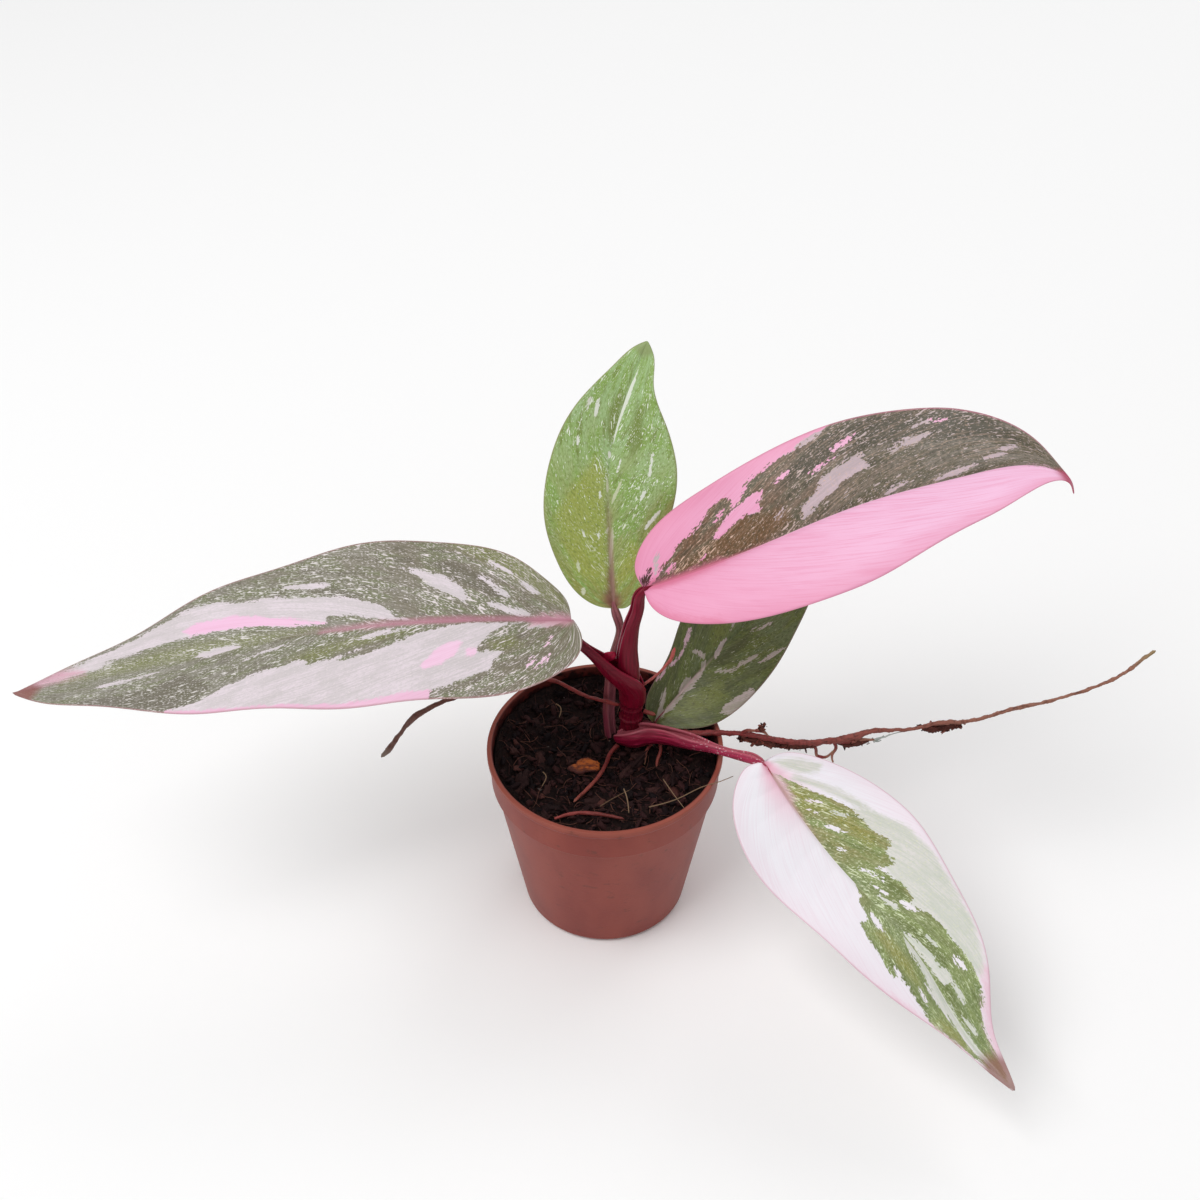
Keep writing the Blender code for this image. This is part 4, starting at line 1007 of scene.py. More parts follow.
def stalk_shape(plan, tail):
    """The rings of a stalk, and how far each point lies along and around it."""
    rows = smooth_line([*plan["path"], *tail], STALK_ROWS)
    centres = rows[:, :3]
    along = unit(np.gradient(centres, axis=0))
    share = np.linspace(0, 1, STALK_ROWS)[:, None]
    base, top = (unit(np.array(plan[end], float)) for end in ("open_at_base", "open_at_top"))
    opening = base * (1 - share) + top * share
    up = across(opening, along)
    side = np.cross(along, up)
    place = travelled(centres)
    rings, grain, lips = [], [], []
    for i, (radius, half_opening, edge, floor) in enumerate(rows[:, 3:]):
        ring = stalk_section(max(radius, LEAST_RADIUS), half_opening, max(edge, LEAST_EDGE), floor)
        angle = np.arctan2(ring[:, 1], ring[:, 0])
        wobble = 0.035 * np.sin(11 * angle + 0.11 * place[i]) + 0.02 * np.sin(23 * angle - 0.2 * place[i])
        outer = np.zeros(len(ring))
        outer[1:ARC_POINTS - 1] = 1
        ring = ring * (1 + (wobble * outer)[:, None])
        rings.append(centres[i] + ring[:, :1] * side[i] + ring[:, 1:] * up[i])
        grain.append(np.stack([angle * radius, np.full(len(ring), place[i]), np.zeros(len(ring))], axis=1))
        lips.append(1 - outer)
    return np.array(rings), np.array(grain), np.array(lips)


def loft_piece(name, rings, grain, finish, nodes, lips=None):
    """A closed piece from rings, with its grain, its lips and the share along it stored."""
    count, size = rings.shape[:2]
    points, faces = closed(rings)
    share = np.concatenate([np.repeat(np.linspace(0, 1, count), size), [0, 1]])
    stored = {"grain": np.vstack([grain.reshape(-1, 3), grain[0, :1], grain[-1, :1]]), "share": share}
    if lips is not None:
        stored["lip"] = np.concatenate([lips.ravel(), [lips[0, 0], lips[-1, 0]]])
    add_piece(name, points, faces, finish, nodes, stored)


print("stalks have", STALK_ROWS, "rows")

# %% [markdown]
# ## The skin of stalks and stem
# The stalks are deep maroon with fine lengthwise ridges and streaks, a wet-looking satin shine, and a
# paler edge on the lips of the groove, partly their own pale skin and partly a painted highlight where
# the edge catches the light. Each one shifts towards its own second colour along its length.


# %% Stalk finish and stalks
def stalk_finish(name, low, high, lip, fleck):
    mixture = Recipe(name, roughness=0.34, shine=0.2)
    lay, both = mixture.lay, mixture.both
    grain, share = mixture.stored("grain", "Vector"), mixture.stored("share")
    fibre = mixture.noise(grain, (2.2, 0.12, 1.0), 4.0, 0.6)
    patch = mixture.noise(grain, (0.5, 0.18, 1.0), 3.0)
    speck = mixture.noise(grain, (2.6, 1.2, 1.0), 1.0)
    darker = tuple(0.4 * value for value in low)
    lighter = tuple(1.6 * value for value in high)
    colour = lay(low, high, mixture.add(share, mixture.centred(patch)), 0.2, 0.85)
    colour = lay(colour, darker, fibre, 0.46, 0.66, top=0.5)
    colour = lay(colour, lighter, fibre, 0.34, 0.46, 0.5, 0.0)
    # The lips' paler tint is partly their own skin and partly a painted highlight along the edge.
    colour = lay(colour, lip, mixture.stored("lip"), 0.3, 1.0, top=0.55)
    dots = both(mixture.part(speck, 0.63, 0.67, 0.0, 0.7), mixture.part(share, 0.35, 0.7))
    mixture.relief(mixture.add(fibre, both(patch, 0.5)), 0.14, 0.7)
    return mixture.colour(mixture.mix(dots, colour, fleck))


# The tint on the lips is partly a painted highlight.
STALK_LOOKS = {  # slot, tint at the foot, at the top, on the lips and of the flecks
    "pink": ("stalk_skin", (.14, .002, .013), (.165, .004, .02), (.21, .006, .028), (.22, .01, .03)),
    "left": ("stalk_skin", (.15, .002, .014), (.1, .003, .013), (.26, .005, .03), (.22, .01, .03)),
    "upright": ("stalk_skin_pale", (.25, .04, .07), (.17, .062, .05), (.4, .14, .17), (.36, .15, .15)),
    "back": ("stalk_skin", (.1, .008, .018), (.14, .02, .028), (.18, .03, .04), (.28, .07, .08)),
    "white": ("stalk_skin_bright", (.185, .004, .024), (.38, .03, .08), (.46, .13, .16), (.78, .58, .6)),
}


def stalk_tail(name):
    """Two rows that carry the stalk on under the blade and shrink it into the midrib's rib."""
    form, rib = forms[name], LEAVES[name]["rib"]
    point, normal = form.bend(np.array([1.2, 4.0]), np.zeros(2), np.zeros(2))
    sink = STALKS[name].get("sink", 0)
    under = point - normal * np.array([[0.55 * rib + sink], [0.45 * rib + sink]])
    return [(*under[0], 0.62 * rib - 0.4 * sink, 40, 0.3, 0.6), (*under[1], 0.3 * rib, 40, 0.2, 0.6)]


for name, (slot, *tints) in STALK_LOOKS.items():
    finish = stalk_finish("stalk_" + name, *tints)
    rings, grain, lips = stalk_shape(STALKS[name], stalk_tail(name))
    loft_piece("stalk_" + name, rings, grain, finish, ["petiole_" + name], lips)

# %% [markdown]
# The left stalk's sheath ends in a small ear, which stands up beside the pink leaf's stalk. It is the
# free edge of the sheath, so it is thin, bowed and a little torn along its top.

# %% Ear of the sheath
EAR_PLACE = (0.55, 6.6, 70.2)
EAR_SIZE = (2.0, 0.3, 1.5)
EAR_BOW = 0.45
EAR_TEAR = 0.10


def ball_template(cuts):
    """The points and faces of a ball of small triangles."""
    shell = bmesh.new()
    bmesh.ops.create_icosphere(shell, subdivisions=cuts, radius=1.0)
    points = np.array([corner.co[:] for corner in shell.verts])
    faces = [tuple(corner.index for corner in face.verts) for face in shell.faces]
    shell.free()
    return points, faces


template, ear_faces = ball_template(4)
ear_points = []
for x, y, z in template:
    torn = 1 + EAR_TEAR * noise.noise(Vector((2.6 * x, 1.0, 2.6 * z))) * max(z, 0)
    bow = EAR_BOW * (x**2 - 0.35) + 0.3 * z * x
    ear_points.append((x * EAR_SIZE[0], y * EAR_SIZE[1] + bow, z * EAR_SIZE[2] * torn + 0.25 * x))
ear_points = np.array(ear_points) + np.array(EAR_PLACE)
# The ear's top edge takes the paler lip tint, partly a painted highlight.
ear_skin = stalk_finish("sheath_ear", (.36, .006, .038), (.38, .008, .042), (.46, .02, .07), (.4, .03, .07))
add_piece("sheath_ear", ear_points, ear_faces, ear_skin, (),
          {"grain": ear_points, "share": 0 * template[:, 0], "lip": np.clip(template[:, 2] * 2 - 1, 0, 1)})

# %% [markdown]
# ## Stem
# The short stem carries the sheaths. It has a swollen joint where each leaf grew, with a thin ring
# scar, and faint lengthwise ribs between. It is a tube whose radius changes with height and angle.

# %% Tubes and the stem
STEM_PATH = [(5.2, 7.3, 27), (5.9, 7.2, 38), (6.1, 7.2, 46), (6.1, 7.2, 52), (6.2, 7.1, 56)]
STEM_RADII = [1.6, 2.4, 2.6, 2.55, 2.7]
STEM_ROWS, STEM_SIDES = 150, 48
JOINTS = [(46.0, 0.30), (50.6, 0.34), (54.0, 0.22)]
JOINT_SPREAD = 0.45


FIRST_UP = np.array([0.13, 0.31, 0.94])


def tube_rings(path, radii, count, size, shape=None):
    """Rings round a smooth line; shape may add to the radius for a distance and an angle."""
    rows = smooth_line([(*point, radius) for point, radius in zip(path, radii)], count)
    centres = rows[:, :3]
    along = unit(np.gradient(centres, axis=0))
    place = travelled(centres)
    up = across(FIRST_UP + 0 * along, along)
    for i in range(1, count):
        up[i] = across(up[i - 1], along[i])
    side = np.cross(along, up)
    angle = np.linspace(0, 2 * math.pi, size, endpoint=False)
    radius = rows[:, 3:4] * np.ones((1, size))
    if shape:
        radius = radius + shape(place[:, None], angle[None, :], centres)
    rings = (centres[:, None] + side[:, None] * (radius * np.cos(angle))[..., None]
             + up[:, None] * (radius * np.sin(angle))[..., None])
    grain = np.stack([rows[:, 3:4] * angle, place[:, None] + 0 * angle, 0 * radius], axis=-1)
    return rings, grain


def stem_shape(place, angle, centres):
    """Lengthwise ribs and swollen joints."""
    height = centres[:, 2:3]
    ribs = 0.05 * np.sin(9 * angle + 0.05 * place) + 0.03 * np.sin(17 * angle)
    knots = sum(size * np.exp(-((height - level) / JOINT_SPREAD)**2) for level, size in JOINTS)
    return ribs + knots


stem_skin = stalk_finish("stem_skin", (.10, .002, .011), (.13, .002, .014), (.14, .01, .02), (.20, .03, .03))
rings, grain = tube_rings(STEM_PATH, STEM_RADII, STEM_ROWS, STEM_SIDES, stem_shape)
loft_piece("main_stem", rings, grain, stem_skin, ["stem"], np.zeros(rings.shape[:2]))

# %% [markdown]
# ## Aerial roots
# Aerial roots grow from the stem's joints. Young ones are smooth and red with a blunt tip; older ones
# are brown, wrinkled and knotty, with peat stuck to them. The tube is the same, but noise pinches and
# swells it, in proportion to its own thickness, and each root ends in a rounded tip.

# %% Root tables
ROOTS = {
    "root_long": {
        "kind": "brown",
        "path": [(9.2, 6, 45.6), (14, 5.4, 46.6), (20.5, 4, 47.8), (27.2, 2.6, 49.4), (32.4, 0.6, 51.0),
                 (39.2, -1.8, 51.7), (46.7, -2.7, 51.5), (52.5, -2.3, 52), (58.3, -1.4, 52.6),
                 (61, -0.8, 53.3), (66.1, 0.4, 52.6), (72.1, 1.5, 52.1), (75.8, 2, 52.9), (78.8, 2.5, 53),
                 (82.5, 3.3, 52.2), (85.4, 3.9, 52.2), (90.1, 5, 52.7), (95.3, 6.4, 53.5), (101.5, 8.1, 53.5),
                 (108.3, 10.1, 54), (113.7, 11.9, 54.5), (119.1, 13.8, 55.5), (124.7, 17, 56.8),
                 (127.4, 18.7, 58), (130.3, 20.2, 59.1)],
        "radii": [0.8, 0.75, 0.7, 0.62, 0.6, 0.66, 0.72, 0.7, 0.74, 0.62, 0.46, 0.42, 0.5, 0.52, 0.46,
                  0.4, 0.38, 0.42, 0.38, 0.32, 0.33, 0.35, 0.44, 0.46, 0.24],
    },
    "root_left": {
        "kind": "aged",
        "path": [(3.1, 6.2, 55.1), (0.9, 6.4, 55.7), (-0.7, 7.4, 55.3), (-3.3, 9.5, 54.1), (-6.7, 12.2, 53.4),
                 (-12, 14.6, 54.6), (-20.2, 13.9, 55.5), (-29, 10.2, 56.3), (-36, 7.2, 56),
                 (-40.9, 5.3, 54.8), (-44.3, 4.2, 53.1), (-46.4, 3.8, 50.5), (-49, 3.2, 46.5),
                 (-51.1, 2.5, 43.5), (-52.7, 1.9, 41.9)],
        "radii": [0.46, 0.44, 0.42, 0.42, 0.44, 0.46, 0.5, 0.55, 0.58, 0.6, 0.72, 0.52, 0.58, 0.66, 0.35],
    },
    "root_rising": {
        "kind": "salmon",
        "path": [(8.1, 8.6, 58.4), (9.3, 8.6, 59.6), (12.2, 10.9, 60.4), (14.2, 12.6, 61.6), (15.4, 13.5, 63),
                 (15.9, 14.1, 64.4), (16.2, 14.6, 65.4)],
        "radii": [0.32, 0.32, 0.32, 0.35, 0.44, 0.44, 0.25],
    },
    "root_stub": {
        "kind": "red",
        "path": [(9.0, 6.2, 52.9), (10.3, 5.8, 52.8), (11.8, 5.2, 52.7)],
        "radii": [0.5, 0.5, 0.35],
    },
    "root_front": {
        "kind": "red",
        "path": [(3.0, 3.0, 44.9), (1.7, 1.7, 44.3), (0, -2.8, 43.9), (-3.9, -9.5, 43.7),
                 (-7.2, -13.6, 43.4)],
        "radii": [0.55, 0.5, 0.46, 0.42, 0.3],
    },
    "root_loop": {
        "kind": "ruddy",
        "path": [(-11.5, -18.5, 43.2), (-7.3, -17.2, 43.5), (-2.1, -17.3, 43.5), (4.3, -18.6, 43.2)],
        "radii": [0.3, 0.45, 0.45, 0.3],
    },
    "root_curl": {
        "kind": "red",
        "path": [(12.8, 2.4, 46.5), (13.0, 1.2, 44.9), (12.4, -0.4, 43.8), (12, -2.4, 43.2)],
        "radii": [0.4, 0.4, 0.38, 0.25],
    },
    "root_thin": {
        "kind": "brown",
        "path": [(11.0, 2.4, 45.9), (10.1, 2, 45), (9.4, 0.6, 44), (9.2, -1.7, 43.2)],
        "radii": [0.35, 0.35, 0.35, 0.25],
    },
}
ROOTLETS = [
    [(47.9, -2.6, 51.1), (48.8, -2.6, 49), (49.2, -2.6, 47), (50.4, -2.5, 45.9)],
    [(52.3, -2.3, 52), (53.4, -2.2, 49.3), (52.7, -2.3, 47), (53.1, -2.3, 44.7)],
    [(49.2, -2.6, 47), (51.1, -2.4, 46.5), (52.8, -2.3, 48.4)],
    [(31.8, 0.9, 51), (33, 0.3, 52.6), (34.8, -0.5, 53.3), (36, -1.1, 54.8)],
    [(34.8, -0.5, 53.3), (36.6, -1.2, 53.6), (37.5, -1.4, 52.6)],
    [(52.8, -2.3, 51.9), (56.6, -1.9, 51.2), (60, -1.1, 50.9), (62.6, -0.6, 50.4)],
]
print(len(ROOTS), "roots")

# %% [markdown]
# A root's skin changes from its foot to its tip. Two noises mark it, one drawn out along the root for
# bark and one across it for rings, and both also raise the surface a little.


# %% Root finish
def root_finish(name, low, high, dark, tip):
    mixture = Recipe(name, roughness=0.5, shine=0.3)
    lay = mixture.lay
    grain, share = mixture.stored("grain", "Vector"), mixture.stored("share")
    bark = mixture.noise(grain, (1.6, 0.5, 1.0), 4.0, 0.65)
    ring = mixture.noise(grain, (0.6, 2.6, 1.0), 3.0, 0.6)
    colour = lay(low, high, share, 0.15, 0.8)
    colour = lay(colour, dark, bark, 0.45, 0.68, top=0.8)
    colour = lay(colour, tuple(0.5 * value for value in dark), ring, 0.55, 0.7, top=0.5)
    mixture.relief(mixture.add(bark, ring), 0.18, 0.8)
    return mixture.colour(lay(colour, tip, share, 0.93, 1.0, top=0.8))


ROOT_LOOKS = {  # slot, tint at the foot, near the tip, of the bark's marks and of the tip
    "red": ("root_skin", (.19, .022, .02), (.25, .05, .036), (.075, .014, .012), (.28, .1, .07)),
    "brown": ("root_skin_brown", (.21, .028, .028), (.34, .15, .1), (.075, .018, .014), (.32, .24, .11)),
    "salmon": ("root_skin_salmon", (.38, .085, .075), (.56, .13, .11), (.26, .05, .045), (.62, .03, .06)),
    "aged": ("root_skin", (.23, .024, .022), (.14, .062, .046), (.085, .02, .017), (.2, .16, .13)),
    "ruddy": ("root_skin_brown", (.3, .05, .044), (.17, .028, .024), (.1, .02, .017), (.14, .03, .025)),
}
root_finishes = {kind: root_finish("root_" + kind, *tints) for kind, (_, *tints) in ROOT_LOOKS.items()}


print("root finishes:", sorted(root_finishes))

# %% [markdown]
# The noise that pinches and swells a root is read round a circle and along the root, so it has no seam.
# The last bit of each root shrinks by a square root, which gives a round tip and not a cone.

# %% Roots and rootlets
ROOT_SIDES = 18
ROOT_ROWS_PER_MM = 3.2
FEWEST_ROOT_ROWS = 40
ROUGH_KINDS = ("brown", "aged")
ROUGH, SMOOTH = 0.42, 0.22
THICK_END = 0.8
TIP_LENGTH = 0.6
ROOTLET_START, LAST_ROOTLET_START, ROOTLET_END = 0.46, 0.72, 0.22
ROOTLET_ROWS, ROOTLET_SIDES = 30, 12


def root_shape(amount, seed):
    """Knots and wrinkles from noise that is read round the root without a seam."""
    def shape(place, angle, centres):
        grown = np.zeros((len(place), angle.shape[1]))
        for i, run in enumerate(place[:, 0]):
            for j, turn in enumerate(angle[0]):
                spot = Vector((math.cos(turn), math.sin(turn), run * 0.55 + seed))
                fine = Vector((2.2 * math.cos(turn), 2.2 * math.sin(turn), run * 2.1 + seed))
                grown[i, j] = noise.noise(spot) + 0.45 * noise.noise(fine)
        return amount * grown
    return shape


for number, (name, plan) in enumerate(ROOTS.items()):
    kind, radii = plan["kind"], plan["radii"]
    length = travelled(np.array(plan["path"], float))[-1]
    amount = (ROUGH if kind in ROUGH_KINDS else SMOOTH) * min(radii[1], THICK_END)
    rings, grain = tube_rings(plan["path"], radii, max(FEWEST_ROOT_ROWS, int(length * ROOT_ROWS_PER_MM)),
                              ROOT_SIDES, root_shape(amount, 7.0 * number))
    taper = np.clip((1 - np.linspace(0, 1, len(rings))) * length / TIP_LENGTH, 0.12, 1)**0.5
    middle = rings.mean(axis=1, keepdims=True)
    rings = middle + (rings - middle) * taper[:, None, None]
    loft_piece("aerial_" + name, rings, grain, root_finishes[kind], [name])

for number, path in enumerate(ROOTLETS):
    start = LAST_ROOTLET_START if path is ROOTLETS[-1] else ROOTLET_START
    radii = np.linspace(start, ROOTLET_END, len(path))
    rings, grain = tube_rings(path, radii, ROOTLET_ROWS, ROOTLET_SIDES, root_shape(0.10, 90.0 + number))
    loft_piece(f"rootlet_{number + 1}", rings, grain, root_finishes["brown"], ())

# %% [markdown]
# ## Nursery pot
# The pot is thin moulded plastic in a terracotta colour, spun round its axis: a rolled lip, a straight
# collar, a step and a tapering wall. Rings of points that follow the profile up the inside, over the lip
# and down the outside make it in one go.

# %% Pot profile
POT_HEIGHT = 48.0
RIM_RADIUS = 27.5
LIP = 1.2
LIP_DEPTH = 2.1
COLLAR_HEIGHT = 9.0
COLLAR_STEP = 1.0
COLLAR_TAPER = 0.2
BASE_RADIUS = 19.5
WALL = 0.8
FLOOR = 1.0
INNER_END = 0.5
STEP_SLOPE = 0.35
collar_foot = POT_HEIGHT - COLLAR_HEIGHT
collar = RIM_RADIUS - LIP / 2


def wall_radius(height):
    """The pot's outer radius below its collar."""
    top = collar - COLLAR_STEP
    return BASE_RADIUS + (top - BASE_RADIUS) * height / collar_foot


def rounded(profile, radius=0.3, steps=3):
    """Round the inner corners of a profile with short arcs."""
    soft = [profile[0]]
    for before, corner, after in zip(profile[:-2], profile[1:-1], profile[2:]):
        before, corner, after = (np.array(point, float) for point in (before, corner, after))
        reach_in = min(radius, np.linalg.norm(before - corner) * 0.45)
        reach_out = min(radius, np.linalg.norm(after - corner) * 0.45)
        start = corner + unit(before - corner) * reach_in
        end = corner + unit(after - corner) * reach_out
        for share in np.linspace(0, 1, steps + 1):
            soft.append(tuple(start * (1 - share)**2 + 2 * corner * share * (1 - share) + end * share**2))
    return [*soft, profile[-1]]


pot_profile = rounded([
    (INNER_END, FLOOR), (wall_radius(FLOOR) - WALL, FLOOR), (wall_radius(collar_foot) - WALL, collar_foot),
    (collar - WALL, collar_foot + COLLAR_STEP), (collar - WALL, POT_HEIGHT - LIP_DEPTH),
    (RIM_RADIUS - LIP, POT_HEIGHT), (RIM_RADIUS, POT_HEIGHT), (RIM_RADIUS, POT_HEIGHT - LIP_DEPTH + LIP / 2),
    (collar, POT_HEIGHT - LIP_DEPTH), (collar - COLLAR_TAPER, collar_foot),
    (wall_radius(collar_foot), collar_foot - STEP_SLOPE), (wall_radius(FLOOR), FLOOR),
    (BASE_RADIUS - WALL, 0), (INNER_END, 0),
])
print("pot profile of", len(pot_profile), "points")

# %% [markdown]
# Moulded plastic is even, so its finish is quiet: two near tints in soft clouds, faint scuffs, a paler
# top on the lip, and dust. Inside, the wall is darkened to maroon as painted shade, and below a ragged
# line just under the rim it is nearly black, partly peat stain and partly painted shade.

# %% Pot finish
pot_mix = Recipe("pot_plastic", roughness=0.45, shine=0.22)
lay, both, add = pot_mix.lay, pot_mix.both, pot_mix.add
place, height, inside = pot_mix.stored("place", "Vector"), pot_mix.stored("height"), pot_mix.stored("inside")
shade = pot_mix.noise(place, (0.10, 0.10, 0.05), 3.0)
scuff = pot_mix.noise(place, (0.9, 0.9, 2.5), 4.0, 0.7)
dust = pot_mix.noise(place, (0.35, 0.35, 0.5), 4.0, 0.65)
colour = lay((.215, .036, .026), (.262, .05, .034), shade, 0.3, 0.7)
colour = lay(colour, (.31, .095, .065), scuff, 0.58, 0.78, top=0.28)
colour = lay(colour, (.34, .105, .072), height, POT_HEIGHT - 1.8, POT_HEIGHT - 0.1, top=0.45)
colour = lay(colour, (.11, .03, .02), dust, 0.58, 0.75, top=0.6)
# Painted shade: the whole inside wall is darkened to maroon.
colour = pot_mix.mix(both(inside, 0.8), colour, (.075, .013, .012))
# Nearly black below a ragged line just under the rim: partly peat stain, partly painted shade.
ragged_height = add(both(pot_mix.centred(dust), 14.0), height)
stain_and_shade = both(inside, pot_mix.part(ragged_height, POT_HEIGHT - 2.8, POT_HEIGHT - 0.4, 0.92, 0.0))
colour = pot_mix.mix(stain_and_shade, colour, (.012, .005, .005))
pot_mix.relief(add(scuff, shade), 0.05, 0.5)
pot_plastic = pot_mix.colour(colour)
print("pot finish with", len(pot_mix.tree.nodes), "nodes")

# %% [markdown]
# The rings are spun from the profile. Four small cylinders are then taken out of the pot's floor, as
# its drain holes.

# %% Pot and drain holes
DRAIN_HOLES = 4
DRAIN_RADIUS = 2.5
DRAIN_CIRCLE = 11.0
DRAIN_SEGMENTS = 40
POT_SEGMENTS = 144


def turned_rings(profile, segments):
    """Rings round the Z axis, one for each point of the profile."""
    turn = np.linspace(0, 2 * math.pi, segments, endpoint=False)
    return np.array([[(radius * math.cos(a), radius * math.sin(a), height) for a in turn]
                     for radius, height in profile])


rings = turned_rings(pot_profile, POT_SEGMENTS)
pot_points, pot_faces = closed(rings, [(0, 0, FLOOR), (0, 0, 0)])
rim_ring = np.argmax(rings[:, 0, 2])
inner_side = np.concatenate([np.repeat(np.arange(len(rings)) < rim_ring, POT_SEGMENTS), [1, 0]])
pot = add_piece("nursery_pot", pot_points, pot_faces, pot_plastic, ["pot"],
                {"place": pot_points, "height": pot_points[:, 2], "inside": inner_side})
for i in range(DRAIN_HOLES):
    angle = 2 * math.pi * (i + 0.5) / DRAIN_HOLES
    centre = Vector((DRAIN_CIRCLE * math.cos(angle), DRAIN_CIRCLE * math.sin(angle), 0)) * METRES
    bpy.ops.mesh.primitive_cylinder_add(vertices=DRAIN_SEGMENTS, radius=DRAIN_RADIUS * METRES,
                                        depth=4 * FLOOR * METRES, location=centre)
    drill = bpy.context.object
    hole = pot.modifiers.new("Drain hole", "BOOLEAN")
    hole.operation = "DIFFERENCE"
    hole.object = drill
    bpy.context.view_layer.objects.active = pot
    bpy.ops.object.modifier_apply(modifier=hole.name)
    bpy.data.objects.remove(drill, do_unlink=True)
print("pot with", DRAIN_HOLES, "drain holes")

# %% [markdown]
# ## Potting mix
# The mix is damp peat: nearly black, with crumbs of every size, brown fibres, bits of bark and a few
# grains of grit. A noise alone looks like felt, so the body gets a lumpy top, and hundreds of separate
# crumbs, fibres and grains are scattered over it, each with its own size, turn and shade.

# %% Height of the mix
SOIL_LEVEL = 42.5
GAP = 0.3
top_radius = collar - WALL - GAP


def soil_height(x, y):
    """Low swells with a shallow heap round the stem, as in the solid model."""
    swell = math.sin(0.55 * x + 1.1) * math.cos(0.48 * y - 0.4) + 0.7 * math.sin(0.93 * x - 0.81 * y)
    away = math.hypot(x - STEM_PATH[1][0], y - STEM_PATH[1][1]) / 7.7
    return SOIL_LEVEL + 0.27 * swell + 0.5 * math.exp(-away**2)


BANK_HEIGHT = 2.9
BANK_START = 17.5
BANK_SIDE = math.radians(130)


def bank(x, y):
    """The mix was pressed up against the wall at the back and on the left."""
    out = min(max((math.hypot(x, y) - BANK_START) / (top_radius - BANK_START), 0), 1)
    side = min(max(math.cos(math.atan2(y, x) - BANK_SIDE) + 0.3, 0), 1)
    return BANK_HEIGHT * side * out**1.4


def crumbly(x, y):
    """The lumps that stand on that surface."""
    lump = abs(noise.noise(Vector((0.42 * x, 0.42 * y, 3.0))))
    crumb = abs(noise.noise(Vector((1.1 * x, 1.1 * y, 8.0))))
    fine = noise.noise(Vector((2.7 * x, 2.7 * y, 5.0)))
    return 1.1 * lump + 0.75 * crumb + 0.18 * fine - 0.35 + bank(x, y)


def mix_height(x, y):
    return soil_height(x, y) + crumbly(x, y)


print("the mix stands", round(mix_height(0, 0), 1), "mm high at the middle")

# %% [markdown]
# The body is a disc of rings that carry those heights, and a few rings below it that fill the pot. Its
# finish is nearly black, with browner clods, and bumps as deep as the smallest crumbs.

# %% Body of the mix
SOIL_RINGS = 90
SOIL_SEGMENTS = 200
CORNER = 0.15

turn = np.linspace(0, 2 * math.pi, SOIL_SEGMENTS, endpoint=False)
soil_rings = []
for i in range(1, SOIL_RINGS + 1):
    radius = top_radius * i / SOIL_RINGS
    ring = [(radius * math.cos(a), radius * math.sin(a)) for a in turn]
    soil_rings.append([(x, y, mix_height(x, y)) for x, y in ring])
foot_rings = turned_rings([
    (top_radius, collar_foot + COLLAR_STEP + CORNER),
    (wall_radius(collar_foot) - WALL - GAP, collar_foot + CORNER),
    (wall_radius(FLOOR) - WALL - GAP, FLOOR + GAP)], SOIL_SEGMENTS)

peat_mix = Recipe("peat", roughness=0.8, shine=0.12)
place = peat_mix.stored("place", "Vector")
crumb = peat_mix.noise(place, 1.6, 5.0, 0.7)
clod = peat_mix.noise(place, 0.35, 3.0)
peat_colour = peat_mix.lay((.005, .0022, .0026), (.02, .009, .007), crumb, 0.4, 0.7)
peat_colour = peat_mix.lay(peat_colour, (.032, .014, .011), clod, 0.5, 0.75, top=0.6)
peat_mix.relief(crumb, 0.5, 0.9)
soil_points, soil_faces = closed(np.concatenate([np.array(soil_rings), foot_rings]),
                                 [(0, 0, mix_height(0, 0)), (0, 0, FLOOR + GAP)])
add_piece("potting_mix", soil_points, soil_faces, peat_mix.colour(peat_colour), ["soil"],
          {"place": soil_points})

# %% [markdown]
# Each crumb is a small ball of points pushed in and out by noise and flattened a little. All crumbs go
# into one mesh, because a thousand separate objects would be slow, and each keeps its own tint value
# that the finish turns into a shade of brown.

# %% Crumbs, grit and bark bits
STEM_CLEAR = 3.2
UNEVEN = 0.8
FULL_TURN = 6.3
TILT = 0.7


def spot_on_mix(reach):
    """A random place on the mix, away from the stem."""
    while True:
        x, y = (chance.uniform(-top_radius, top_radius) for _ in range(2))
        clear = math.hypot(x - STEM_PATH[1][0], y - STEM_PATH[1][1]) > STEM_CLEAR
        if math.hypot(x, y) < top_radius - reach and clear:
            return x, y, mix_height(x, y)


def one_mesh(name, shapes, finish):
    """Many small shapes in one mesh; each is its points, its faces and its own tint value."""
    points, faces, tint = [], [], []
    for spots, corners, shade in shapes:
        faces.extend(tuple(len(points) + corner for corner in face) for face in corners)
        points.extend(spots)
        tint.extend([shade] * len(spots))
    points = np.array(points)
    add_piece(name, points, faces, finish, (), {"tint": np.array(tint), "place": points})


